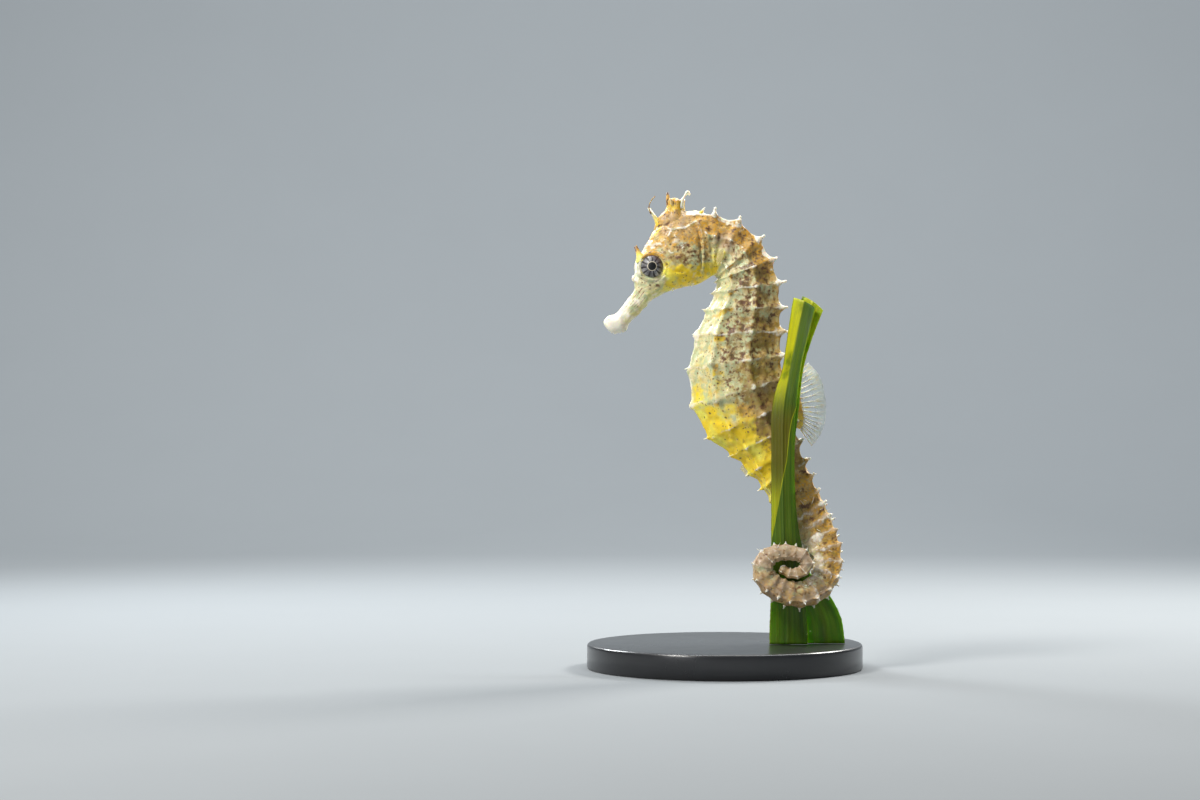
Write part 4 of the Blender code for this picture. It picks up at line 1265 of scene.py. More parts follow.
@dataclass
class Skin(Workshop):
    """One skin over head, trunk and tail."""

    flesh: Flesh
    markings: Markings
    relief: Relief
    nodes: Sequence[str] = ("snout", "head", "neck", "chest", "belly", "hips",
                            *(f"tail_{i}" for i in range(1, 10)))
    # Rows from one plane to the next on head, trunk and tail.
    steps: tuple[int, int, int] = (11, 17, 10)
    side_steps: int = 10
    cap_rows: int = 6
    cap_bulge: tuple[float, float] = (0.9, 0.8)
    eye_hole: float = 3.2
    eye_sink: float = 1.6
    # Half width of the flesh that always stays between the eyes.
    nose_bridge: float = 0.8
    tree: BVHTree | None = None

    def stations(self) -> list[tuple[float, float, float]]:
        """Lists the rows of the skin.

        Returns:
            For each row its place, its size as a share, and how far it is pushed past the body's end.
        """
        head, trunk, tail = self.steps
        shoulder, hip, last = self.flesh.shoulder, self.flesh.hip, self.flesh.last
        places = [i / head for i in range(shoulder * head)]
        places += [shoulder + i / trunk for i in range((hip - shoulder) * trunk)]
        places += [hip + i / tail for i in range((last - hip) * tail + 1)]
        rows = [(place, 1.0, 0.0) for place in places]
        front, rear = self.cap_bulge
        turns = [math.pi / 2 * i / self.cap_rows for i in range(self.cap_rows)]
        caps = [(math.sin(turn), math.cos(turn)) for turn in turns]
        start = [(0.0, size, -front * push) for size, push in caps]
        end = [(float(last), size, rear * push) for size, push in reversed(caps)]
        return start + rows + end

    def build(self) -> None:
        """Makes the skin."""
        bm = bmesh.new()
        rows, strengths = [], []
        for place, size, push in self.stations():
            plane, corners = self.flesh.plane(place), self.flesh.corners(place)
            row, dyes = [], []
            for column in range(len(corners) * self.side_steps + 1):
                turn = column / self.side_steps % len(corners)
                point, angle = self.spot(place, plane, corners, turn, size)
                row.append(point + plane.along * push)
                dyes.append(self.markings.at(place, angle, point))
            rows.append(row)
            strengths.append(dyes)
        self.weave(bm, rows, lambda row, column: strengths[row][column])
        self.tree = BVHTree.FromBMesh(bm)
        self.finish("skin", bm, Slot.SKIN, self.nodes)

    def spot(self, place: float, plane: Plane, corners: list, turn: float,
             size: float) -> tuple[Vector, float]:
        """Finds a point of the skin.

        Args:
            place: Counted in planes from the mouth.
            plane: The plane there.
            corners: The section's corners there.
            turn: Counted in corners from the back by the left.
            size: Size of the section as a share, under one on the caps.

        Returns:
            The point and its angle in degrees.
        """
        index = int(turn)
        share = turn - index
        ca, sa, start = corners[index]
        cb, sb, end = corners[(index + 1) % len(corners)]
        angle = lerp(start, end if end > start else 360.0, share)
        bony = 0.8 * smooth(self.flesh.shoulder - 1.5, self.flesh.shoulder + 0.5, place)
        bony *= lerp(1.0, 0.3, smooth(self.flesh.hip + 4, self.flesh.hip + 12, place))
        c = lerp(math.cos(math.radians(angle)), lerp(ca, cb, share), bony)
        s = lerp(math.sin(math.radians(angle)), lerp(sa, sb, share), bony)
        point = plane.middle + plane.out * (c * plane.depth * size) + plane.left * (s * plane.width * size)
        square = (plane.out * (c / plane.depth) + plane.left * (s / plane.width)).normalized()
        point = point + square * (self.relief.at(place, turn, point) * size)
        return self.sink_eye(point), angle

    def sink_eye(self, point: Vector) -> Vector:
        """Draws the skin in under the eyeball and its lid.

        Args:
            point: A point of the skin.

        Returns:
            The point moved inwards.
        """
        far = math.hypot(point.x - EYE_X, point.z - EYE_Z)
        if far > self.eye_hole + 0.6 or abs(point.y) < self.nose_bridge:
            return point
        deep = self.eye_sink * smooth(self.eye_hole + 0.6, self.eye_hole - 0.3, far)
        level = max(self.nose_bridge, abs(point.y) - deep)
        return Vector((point.x, math.copysign(level, point.y), point.z))

    def side_point(self, x: float, z: float, side: int) -> Vector:
        """Finds the skin's outermost point at a spot of the side view.

        Args:
            x: Place in the side view.
            z: Height.
            side: 1 for the left and -1 for the right.

        Returns:
            The point, or one on the middle plane where there is no skin.
        """
        hit = self.tree.ray_cast(Vector((x, -30.0 * side, z)), Vector((0, side, 0)))[0]
        return hit or Vector((x, 0.0, z))


@dataclass
class Spines(Workshop):
    """Spines and knobs on the ridges of trunk and tail, and loose threads of skin."""

    flesh: Flesh
    markings: Markings
    # Length and root radius on each ridge of the trunk, and the first ring that has one.
    trunk: dict[Ridge, tuple[float, float, int]] = field(default_factory=lambda: {
        Ridge.UPPER: (1.85, 0.95, 0), Ridge.SIDE: (0.6, 0.6, 0), Ridge.LOWER: (0.6, 0.6, 2),
        Ridge.KEEL: (1.3, 0.62, 4)})
    lean: dict[Ridge, float] = field(default_factory=lambda: {
        Ridge.UPPER: 0.9, Ridge.SIDE: 0.3, Ridge.LOWER: 0.3, Ridge.KEEL: 0.0})
    tail_size: tuple[tuple[float, float], tuple[float, float]] = ((1.7, 0.9), (0.5, 0.36))
    # Rings of the trunk whose upper spines are small, beside the dorsal fin.
    low_rings: tuple[int, int] = (8, 11)
    plain_from: int = 8
    tail_count: int = 23
    profile: Sequence[tuple[float, float]] = (
        (-0.4, 0.5), (-0.15, 0.9), (0.06, 0.9), (0.2, 0.72), (0.36, 0.53), (0.54, 0.4), (0.7, 0.33),
        (0.84, 0.36), (0.94, 0.3), (1.0, 0.14))
    cone: Sequence[tuple[float, float]] = (
        (-0.3, 1.3), (0.0, 1.0), (0.15, 0.74), (0.32, 0.52), (0.52, 0.36), (0.72, 0.25), (0.9, 0.17),
        (1.0, 0.08))
    sides: int = 10
    bend: float = 0.16
    # How much shorter the upper spines are beside the dorsal fin.
    low_share: float = 0.4
    twig_count: int = 6
    twig_radii: tuple[float, float, float] = (0.13, 0.1, 0.06)
    threads: int = 60
    thread_radii: tuple[float, float, float, float] = (0.09, 0.07, 0.05, 0.025)

    def sizes(self, ring: int) -> dict[Ridge, tuple[float, float]]:
        """Finds the spines of a ring.

        Args:
            ring: Its place.

        Returns:
            Length and root radius for each ridge that has a spine there.
        """
        tail = ring - self.flesh.hip
        if tail <= 0:
            first = self.flesh.shoulder
            return {ridge: size[:2] for ridge, size in self.trunk.items() if ring >= first + size[2]}
        share = smooth(-2, 14, tail)
        length, radius = (lerp(a, b, share) for a, b in zip(*self.tail_size))
        sizes = {Ridge.UPPER: (length, radius)}
        if tail < self.plain_from:
            sizes[Ridge.LOWER] = (length * 0.35, radius * 0.7)
        return sizes

    def build(self) -> None:
        """Makes all spines and threads as one piece."""
        draw = random.Random(5)
        bm = bmesh.new()
        for ring in range(self.flesh.shoulder, self.flesh.hip + self.tail_count):
            for ridge, (length, radius) in self.sizes(ring).items():
                angle = self.flesh.corners(ring)[ridge.value][2]
                for side in (1,) if ridge is Ridge.KEEL else (1, -1):
                    root, way = self.flesh.spine_root(ring, ridge, side, self.lean[ridge])
                    length_here = length * draw.uniform(0.88, 1.12)
                    if ridge is Ridge.UPPER and ring - self.flesh.shoulder in range(*self.low_rings):
                        length_here *= self.low_share
                    foot = self.markings.at(ring, angle, root)
                    self.spine(bm, root, way, length_here, radius, draw, foot,
                               profile=self.cone if ridge is Ridge.KEEL else ())
                    if ring > self.flesh.hip and ridge is Ridge.UPPER:
                        self.twigs(bm, root, way, length_here, draw)
        self.add_threads(bm, draw)
        self.finish("spines", bm, Slot.SKIN)

    def spine(self, bm: bmesh.types.BMesh, root: Vector, way: Vector, length: float, radius: float,
              draw: random.Random, foot: Dye, tip: Dye = Dye(ochre=0.15, white=1.0),
              profile: Sequence[tuple[float, float]] = ()) -> None:
        """Adds a spine with a flared foot, a slim neck and a knob.

        Args:
            bm: The shape that it joins.
            root: Where it grows.
            way: Its direction.
            length: Its length.
            radius: Radius of its root.
            draw: Source of its small bends.
            foot: Dye of the skin that it grows from.
            tip: Dye of its upper half.
            profile: Its shape as (share of its length, share of its radius), or the usual one.
        """
        bend = any_way(draw) * (self.bend * length)
        rows = []
        for reach, share in profile or self.profile:
            middle = root + way * (reach * length) + bend * max(0.0, reach) ** 2
            rows.append(self.ring(middle, way, radius * share, self.sides))
        rows.append([rows[-1][0].lerp(rows[-1][self.sides // 2], 0.5) + way * 0.02] * (self.sides + 1))
        turning = (3, 6) if profile else (2, 5)
        self.weave(bm, rows, lambda row, column: foot.blend(tip, smooth(*turning, row)))

    def twigs(self, bm: bmesh.types.BMesh, root: Vector, way: Vector, length: float,
              draw: random.Random) -> None:
        """Adds short side branches to a spine of the tail.

        Args:
            bm: The shape that they join.
            root: Where the spine grows.
            way: Its direction.
            length: Its length.
            draw: Source of their places.
        """
        for _ in range(self.twig_count):
            start = root + way * (length * draw.uniform(0.3, 1.0))
            end = start + (way * 0.6 + any_way(draw)).normalized() * (length * draw.uniform(0.18, 0.36))
            line = [start, start.lerp(end, 0.6), end]
            self.strand(bm, line, self.twig_radii, 6, Dye(white=1.0, pink=0.2))

    def add_threads(self, bm: bmesh.types.BMesh, draw: random.Random) -> None:
        """Adds fine threads of skin that lie along the tail and the back.

        Args:
            bm: The shape that they join.
            draw: Source of their places.
        """
        for index in range(self.threads):
            ring = self.flesh.hip + lerp(0.5, self.flesh.tail_rings * 0.72, index / self.threads)
            plane = self.flesh.plane(ring)
            turn = math.radians(draw.uniform(30, 120)) * (1 if index % 4 else -1)
            c, s = math.cos(turn), math.sin(turn)
            root = plane.middle + plane.out * (c * plane.depth) + plane.left * (s * plane.width)
            way = (plane.out * c + plane.left * s).normalized()
            swing = plane.along * draw.uniform(-1.0, 1.0) + plane.out * draw.uniform(-0.4, 0.8)
            length = draw.uniform(0.8, 2.0) * lerp(1.0, 0.6, index / self.threads)
            points = [root - way * 0.3 + (way * (t ** 0.7) * 0.7 + swing * t) * length
                      for t in (0, 0.3, 0.65, 1.0)]
            self.strand(bm, points, self.thread_radii, 5, Dye(white=0.85, pink=0.4))


@dataclass
class HeadDetails(Workshop):
    """Lids, spines, bumps and the long thread of the head."""

    flesh: Flesh
    skin: Skin
    eye_radius: float = 3.1
    # Inner edge, crest and outer edge of the lids, as distances from the eye's middle, and the crest's rise.
    lid: tuple[float, float, float] = (2.72, 3.15, 4.2)
    lid_rise: float = 1.6
    lid_segments: int = 72
    # Spines of the left side: root, tip, root radius and how red the tip is.
    spines: Sequence[tuple[Point, Point, float, float]] = (
        ((-20.2, -2.5, 98.4), (-21.2, -2.8, 100.9), 1.2, 1.0),
        ((-12.0, -1.4, 91.8), (-12.6, -1.6, 90.6), 1.15, 0.0),
        ((-7.3, -1.5, 93.1), (-7.7, -1.7, 91.8), 1.1, 0.0),
        ((-5.8, -1.2, 108.9), (-4.9, -1.5, 110.6), 0.7, 0.0),
        ((-15.7, -0.7, 106.6), (-17.9, -1.1, 110.0), 1.05, 0.0),
    )
    # Middle and radius of the knob on the brow.
    nasal: tuple[float, float, float, float] = (-21.3, 0.0, 93.4, 1.0)
    thread: Sequence[Point] = ((-17.6, -1.1, 109.0), (-18.1, -1.1, 110.0), (-18.1, -1.1, 111.0),
                               (-17.6, -1.1, 112.2), (-16.7, -1.1, 113.2))
    thread_radii: Sequence[float] = (0.2, 0.15, 0.11, 0.09, 0.07)

    def build(self) -> None:
        """Makes the lids and spines of the head as one piece."""
        bm = bmesh.new()
        maker = Spines(self.material, self.flesh, self.skin.markings)
        draw = random.Random(11)
        for side in (1, -1):
            self.lids(bm, side)
            for root, tip, radius, red in self.spines:
                start, way = mirrored(root, side), mirrored(tip, side) - mirrored(root, side)
                maker.spine(bm, start, way.normalized(), way.length, radius, draw,
                            Dye(ochre=0.3, yellow=0.6, white=0.4),
                            Dye(ochre=red, brown=1.6 * red, white=1 - red), maker.cone)
            self.tube(bm, [mirrored(point, side) for point in self.thread], self.thread_radii,
                      Dye(ochre=0.4, olive=0.9, brown=0.75))
        self.bump(bm)
        self.finish("head_details", bm, Slot.SKIN)

    def lids(self, bm: bmesh.types.BMesh, side: int) -> None:
        """Adds the raised rim round an eye.

        Args:
            bm: The shape that it joins.
            side: 1 for the left and -1 for the right.
        """
        inner, crest, outer = self.lid
        rows = []
        stops = (inner - 0.1, inner, inner + 0.12, lerp(inner, crest, 0.6), crest, lerp(crest, outer, 0.35),
                 lerp(crest, outer, 0.7), outer)
        for index, far in enumerate(stops):
            row = []
            for turn in round_turns(self.lid_segments):
                x, z = EYE_X + far * math.cos(turn), EYE_Z + far * math.sin(turn)
                ball = EYE_OUT + math.sqrt(max(0.0, self.eye_radius**2 - min(far, 3.0) ** 2))
                edge = EYE_X + outer * math.cos(turn), EYE_Z + outer * math.sin(turn)
                ground = abs(self.skin.side_point(*edge, side).y) - 0.12
                lift = 0.1 + 0.3 * noise.noise(Vector((x, 5.0 * side, z)) * 1.1)
                top = max(EYE_OUT + self.lid_rise, ground) + lift * 0.5
                level = (ball - 0.25, ball + 0.08, ball + 0.22, lerp(ball + 0.22, top, 0.8), top,
                         lerp(top, ground, 0.35), lerp(top, ground, 0.75), ground)[index]
                row.append(Vector((x, -level * side, z)))
            rows.append(row)
        self.weave(bm, rows, lambda row, column: self.lid_dye(rows[row][column]))

    def lid_dye(self, point: Vector) -> Dye:
        """Dye of the rim at a point: orange above and pale in front."""
        return self.skin.markings.head(point.x, point.z).blend(Dye(ochre=1.0, brown=0.45),
                                                               0.8 * smooth(97.5, 99.2, point.z))

    def bump(self, bm: bmesh.types.BMesh) -> None:
        """Adds the pale knob on the brow of the snout.

        Args:
            bm: The shape that it joins.
        """
        *centre, radius = self.nasal
        warm, *_ = self.zones(bm)
        place = Matrix.Translation(centre)
        made = bmesh.ops.create_icosphere(bm, subdivisions=3, radius=radius, matrix=place)
        for vert in made["verts"]:
            vert[warm] = (0.0, 0.0, 0.9, 1.0)


@dataclass
class Crown(Workshop):
    """The coronet with its prongs."""

    markings: Markings
    # Rows of height, middle x, half length and half width.
    levels: Sequence[tuple[float, float, float, float]] = (
        (103.6, -12.3, 4.4, 2.5), (105.2, -12.3, 4.65, 2.75), (106.8, -12.3, 4.4, 2.75),
        (108.0, -12.2, 3.9, 2.6), (108.9, -12.1, 3.0, 2.35), (109.7, -12.0, 2.45, 2.15),
        (110.6, -11.85, 2.1, 2.0), (111.4, -11.75, 2.0, 2.0), (112.0, -11.7, 2.1, 2.1),
        (112.4, -11.7, 1.95, 1.95))
    rim_drop: float = 0.5
    lobes: int = 5
    lobe_size: float = 0.08
    # Prongs of the left side: points of the middle line, radii and how brown the tip is.
    prongs: Sequence[tuple[Sequence[Point], Sequence[float], float]] = (
        (((-12.9, -0.4, 110.0), (-13.5, -0.5, 112.0), (-13.6, -0.5, 113.2), (-13.7, -0.5, 114.1)),
         (1.0, 0.55, 0.4, 0.22), 1.0),
        (((-12.3, -1.2, 110.8), (-12.8, -1.9, 111.8), (-13.1, -2.4, 112.5)), (0.6, 0.34, 0.14), 0.6),
        (((-10.6, -1.0, 110.4), (-10.2, -1.5, 112.0), (-9.6, -1.9, 113.2), (-9.1, -2.0, 114.0),
          (-8.8, -2.0, 114.1), (-8.2, -2.0, 113.5)), (0.8, 0.42, 0.26, 0.34, 0.3, 0.14), 0.0))
    sides: int = 48

    def build(self) -> None:
        """Makes the crown."""
        bm = bmesh.new()
        rows = []
        for height, middle, length, width in self.levels:
            row = []
            for turn in round_turns(self.sides):
                lobe = 1 + self.lobe_size * math.cos(self.lobes * turn) * smooth(105, 111, height)
                x, y = middle + math.cos(turn) * length * lobe, math.sin(turn) * width * lobe
                point = Vector((x, y, height))
                row.append(point * (1 + 0.004 * noise.noise(point * 0.9)))
            rows.append(row)
        middle = Vector((self.levels[-1][1], 0.0, self.levels[-1][0] - self.rim_drop))
        rows.append([point.lerp(middle, 0.5) - Vector((0, 0, self.rim_drop * 0.6)) for point in rows[-1]])
        rows.append([middle] * (self.sides + 1))
        self.weave(bm, rows, lambda row, column: self.dye(rows[row][column]))
        for line, radii, brown in self.prongs:
            for side in (1, -1):
                self.tube(bm, [mirrored(point, side) for point in line], radii,
                          Dye(ochre=0.8 * brown, white=1 - brown, brown=brown))
        self.finish("crown", bm, Slot.SKIN, ["coronet"])

    def dye(self, point: Vector) -> Dye:
        """Dye at a point: golden above, and as the head below."""
        drift = self.markings.drift(point, 1.2)
        gold = smooth(108.4, 110.0, point.z + 0.6 * drift.z)
        edge = smooth(111.6, 112.3, point.z)
        golden = Dye(ochre=1.0, yellow=0.45 * (1 - edge), white=0.75 * edge, brown=0.3, dots=0.6, net=0.4)
        return self.markings.head(point.x, point.z, drift).blend(golden, gold)


@dataclass
class Eyes(Workshop):
    """Glossy eyeballs."""

    radius: float = 3.04
    # How far from the middle plane the ball is cut off.
    flat: float = 1.35

    def build(self) -> None:
        """Makes both eyes."""
        for side, name in ((1, "eye_left"), (-1, "eye_right")):
            self.finish(name + "_ball", self.ball(side), Slot.EYE, [name])

    def ball(self, side: int) -> bmesh.types.BMesh:
        """Makes a ball that is cut off towards the middle of the head.

        Args:
            side: 1 for the left and -1 for the right.

        Returns:
            The shape.
        """
        bm = bmesh.new()
        place = Matrix.Translation((EYE_X, -EYE_OUT * side, EYE_Z)) @ Matrix.Rotation(math.pi / 2, 4, "X")
        bmesh.ops.create_uvsphere(bm, u_segments=64, v_segments=40, radius=self.radius, matrix=place)
        geometry = bm.verts[:] + bm.edges[:] + bm.faces[:]
        cutting = bmesh.ops.bisect_plane(bm, geom=geometry, plane_co=(0, -self.flat * side, 0),
                                         plane_no=(0, side, 0), clear_outer=True)
        rim = [item for item in cutting["geom_cut"] if isinstance(item, bmesh.types.BMEdge)]
        bmesh.ops.holes_fill(bm, edges=rim)
        bmesh.ops.recalc_face_normals(bm, faces=bm.faces[:])
        return bm


@dataclass
class Fin(Workshop):
    """A fan of rays with a clear membrane between them."""

    bone: bpy.types.Material
    name: str
    roots: Sequence[Vector]
    tips: Sequence[Vector]
    rays: int
    facing: Vector = field(default_factory=lambda: Vector((0, 1, 0)))
    ray_radius: float = 0.2
    membrane_half: float = 0.04
    ripple: float = 0.22
    # How deep the free edge is notched between two rays, as a share of a ray.
    notch: float = 0.035
    # Share of a ray at which it forks, and how far its outer twigs spread, counted in rays.
    fork: float = 0.5
    spread: float = 0.36
    stem_sizes: Sequence[float] = (1.35, 1.1, 0.95, 0.85, 0.75)
    twig_sizes: Sequence[float] = (0.5, 0.36, 0.3, 0.26, 0.2)
    steps: int = 14
    closeness: int = 4

    def point(self, ray: float, reach: float) -> Vector:
        """Finds a point of the fin's middle sheet.

        Args:
            ray: Counted in rays.
            reach: Share of the way from the foot to the free edge.

        Returns:
            The point.
        """
        share = ray / (self.rays - 1)
        root = through(self.roots, share * (len(self.roots) - 1))
        tip = through(self.tips, share * (len(self.tips) - 1))
        wave = self.ripple * reach * math.sin(ray * 1.1 + reach * 2.0)
        return root.lerp(tip, reach) + self.facing * wave

    def build(self) -> None:
        """Makes membrane and rays."""
        columns = (self.rays - 1) * self.closeness
        rows = []
        for i in range(self.steps + 1):
            reach = i / self.steps
            row = []
            for k in range(columns + 1):
                ray = k / self.closeness
                notch = self.notch * abs(math.sin(math.pi * ray)) * smooth(0.9, 1.0, reach)
                row.append(self.point(ray, reach - notch))
            rows.append(row)
        half = self.facing * self.membrane_half
        sheets = ([[point + off for point in row] for row in rows] for off in (half, -half))
        bm = self.sheet_solid(sheets, lambda row, column: SheetDye(bright=row / self.steps))
        self.finish(self.name + "_membrane", bm, Slot.FIN, [self.name])
        self.finish(self.name + "_rays", self.bones(), Slot.FIN, (), self.bone)

    def bones(self) -> bmesh.types.BMesh:
        """Makes the rays, each forked past its middle."""
        bm = bmesh.new()
        for ray in range(self.rays):
            stem = [self.point(ray, t * self.fork) for t in (0, 0.25, 0.5, 0.75, 1.0)]
            self.strand(bm, stem, [self.ray_radius * size for size in self.stem_sizes], 8)
            for turn in (-1, -0.33, 0.33, 1):
                reaches = [lerp(self.fork - 0.03, 0.985, t) for t in (0, 0.25, 0.5, 0.75, 1.0)]
                spread = [self.spread * turn * t for t in (0, 0.35, 0.65, 0.85, 1.0)]
                twig = [self.point(min(max(ray + aside, 0.0), self.rays - 1.0), reach)
                        for reach, aside in zip(reaches, spread)]
                self.strand(bm, twig, [self.ray_radius * size for size in self.twig_sizes], 5)
        return bm


@dataclass
class FinRoot(Workshop):
    """The fleshy ridge that the dorsal fin stands on."""

    line: Sequence[Point] = (
        (15.7, 68.4, 0.7), (16.4, 66.5, 1.15), (16.9, 64.6, 1.3), (17.2, 62.2, 1.45), (17.4, 60.3, 1.55),
        (17.3, 58.6, 1.5), (17.0, 57.7, 1.1))
    width: float = 0.78

    def build(self) -> None:
        """Makes the ridge."""
        bm = bmesh.new()
        self.tube(bm, [Vector((x, 0.0, z)) for x, z, _ in self.line], [radius for *_, radius in self.line],
                  Dye(ochre=1.0, yellow=0.35, brown=0.3, dots=0.6), sides=20, closeness=6, ripple=0.05)
        bmesh.ops.scale(bm, vec=(1.0, self.width, 1.0), verts=bm.verts)
        self.finish("dorsal_fin_root", bm, Slot.SKIN)


@dataclass
class Leaf(Workshop):
    """A strap-shaped leaf, folded along its midrib, with a slightly frayed edge."""

    name: str
    # Middle (x, y, z), half width and turn about its length in degrees, from foot to cut end.
    rows: Sequence[tuple[Point, float, float]]
    # Line (share along, share across) of a crease, left of which the leaf is brown above and bright below.
    crease: Line = ()
    # Share of the width at the left and at the right edge that gets painted sunlight in the upper part.
    sunny: tuple[float, float] = (0.0, 0.0)
    fold: float = 0.3
    thickness: float = 0.32
    # How much earlier than the left edge the right one ends, as a share of the length.
    slant: float = 0.008
    fray: float = 0.03
    rib: float = 0.12
    vein: float = 0.02
    wave: float = 0.12
    seed: float = 0.0
    across: int = 28
    along: int = 170
    foot: float = 6.05

    def build(self) -> None:
        """Makes the leaf."""
        sheets = ([self.line(i / self.along, sign) for i in range(self.along + 1)] for sign in (1, -1))
        bm = self.sheet_solid(sheets, lambda row, column: self.dye(row / self.along, column / self.across))
        self.finish(self.name, bm, Slot.LEAF, ["perch_" + self.name])

    def dye(self, share: float, u: float) -> SheetDye:
        """Finds the leaf's colours.

        Args:
            share: Share of the way from foot to cut end.
            u: Share of the way from the left edge to the right.

        Returns:
            The dye there.
        """
        # Painted sunlight on the leaf's upper part, in from its edges.
        high = smooth(0.66, 0.8, share)
        left, right = self.sunny
        bright = max(smooth(left + 0.06, left - 0.06, u), smooth(0.94 - right, 1.06 - right, u)) * high
        brown = 0.9 * smooth(0.51, 0.59, share) * smooth(0.74, 0.66, share)
        beyond = 0.0 if self.crease and share >= self.crease[-1][0] else 1.0
        for (a, ua), (b, ub) in zip(self.crease, self.crease[1:]):
            if a <= share < b:
                beyond = min(1.0, max(0.0, 0.5 + 1.5 * (u - lerp(ua, ub, (share - a) / (b - a)))))
        dark = max(0.75 * smooth(0.6, 0.74, share), 0.6 if self.crease else 0.0)
        return SheetDye(bright, brown, dark * (1 - bright), u, share, beyond)

    def frame(self, share: float) -> tuple[Vector, Vector, Vector, float]:
        """Finds the leaf's middle, its ways across and out, and its half width.

        Args:
            share: Share of the way from foot to cut end.

        Returns:
            Middle, way across, way out and half width.
        """
        middles = [Vector(row[0]) for row in self.rows]
        place = (len(self.rows) - 1) * share
        middle = through(middles, place)
        along = (through(middles, place + 0.05) - through(middles, place - 0.05)).normalized()
        turn = math.radians(through([row[2] for row in self.rows], place))
        across = Vector((math.cos(turn), math.sin(turn), 0.0))
        across = (across - along * across.dot(along)).normalized()
        return middle, across, along.cross(across), through([row[1] for row in self.rows], place)

    def line(self, share: float, sign: int) -> list[Vector]:
        """Lays a row of points across the leaf.

        Args:
            share: Share of the way from foot to cut end.
            sign: 1 for the front face and -1 for the back.

        Returns:
            The points.
        """
        row = []
        for k in range(self.across + 1):
            u = 2 * k / self.across - 1
            middle, across, facing, half = self.frame(share * (1 - self.slant * (u + 1) ** 2 / 2))
            fray = 1 + self.fray * noise.noise(Vector((share * 60, u * 2, self.seed)))
            thin = self.thickness / 2 * lerp(1.0, 0.35, smooth(0.6, 1.0, abs(u)))
            rib = self.rib * bell(u, 0.1) + self.vein * math.cos(u * 22)
            lift = self.fold * (abs(u) - 0.5) + sign * (thin + rib)
            lift += self.wave * noise.noise(Vector((share * 14, u * 1.5, self.seed + 3)))
            point = middle + across * (u * half * fray * 0.985) + facing * lift
            if share == 0:
                point.z = self.foot
            row.append(point)
        return row


@dataclass
class Stand(Workshop):
    """A round base with a rounded edge, a rod and a small collar at its foot."""

    steel: bpy.types.Material
    radius: float = 33.0
    height: float = 6.0
    bevel: float = 0.7
    rod: tuple[float, float] = (13.6, 0.7)
    rod_radius: float = 1.25
    rod_bevel: float = 0.5
    # How far the rod goes on inside the tail, past the solid's end.
    rod_hidden: float = 0.6
    # Radius and height.
    collar: tuple[float, float] = (2.4, 1.1)
    collar_bevel: float = 0.25
    collar_overlap: float = 0.1
    foot_bevel: float = 0.3
    segments: int = 160

    def build(self) -> None:
        """Makes base, rod and collar."""
        base = self.turned([(0.0, 0.0), (self.radius - self.foot_bevel, 0.0), (self.radius, self.foot_bevel),
                            *self.rounded(), (0.0, self.height)], Vector((0, 0, 0)), self.segments)
        self.finish("stand_base_disc", base, Slot.ACRYLIC, ["stand_base"])
        low, high = (corner[2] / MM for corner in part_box("stand_rod"))
        place = Vector((*self.rod, 0.0))
        radius, shoulder, top = self.rod_radius, self.rod_bevel, high + self.rod_hidden
        bar = self.turned([(0.0, self.height), (radius, self.height), (radius, top - shoulder),
                           (radius - shoulder, top), (0.0, top)], place, 40)
        self.finish("stand_rod_bar", bar, Slot.STEEL, ["stand_rod"], self.steel)
        wide, tall = self.collar
        bore, upper = radius - self.collar_overlap, low + tall
        ring = self.turned([(bore, self.height), (wide, self.height), (wide, upper - 2 * self.collar_bevel),
                            (wide - self.collar_bevel, upper), (bore, upper)], place, 48, True)
        self.finish("stand_collar", ring, Slot.STEEL, (), self.steel)

    def rounded(self) -> list[tuple[float, float]]:
        """Profile of the base's upper edge."""
        turns = [math.pi / 2 * i / 6 for i in range(7)]
        corner = (self.radius - self.bevel, self.height - self.bevel)
        return [(corner[0] + self.bevel * math.cos(a), corner[1] + self.bevel * math.sin(a)) for a in turns]

    def turned(self, profile: Sequence[tuple[float, float]], place: Vector, segments: int,
               ring: bool = False) -> bmesh.types.BMesh:
        """Turns a profile about a vertical axis.

        Args:
            profile: Points as (radius, height) from the bottom up.
            place: The axis.
            segments: Number of steps once round.
            ring: True if the profile closes on itself off the axis.

        Returns:
            The shape.
        """
        bm = bmesh.new()
        verts = [bm.verts.new((place.x + r, place.y, z)) for r, z in profile]
        pairs = list(zip(verts, verts[1:])) + ([(verts[-1], verts[0])] if ring else [])
        edges = [bm.edges.new(pair) for pair in pairs]
        bmesh.ops.spin(bm, geom=verts + edges, cent=place, axis=(0, 0, 1), angle=2 * math.pi, steps=segments,
                       use_merge=True)
        bmesh.ops.remove_doubles(bm, verts=bm.verts[:], dist=WELD)
        bmesh.ops.recalc_face_normals(bm, faces=bm.faces[:])
        return bm


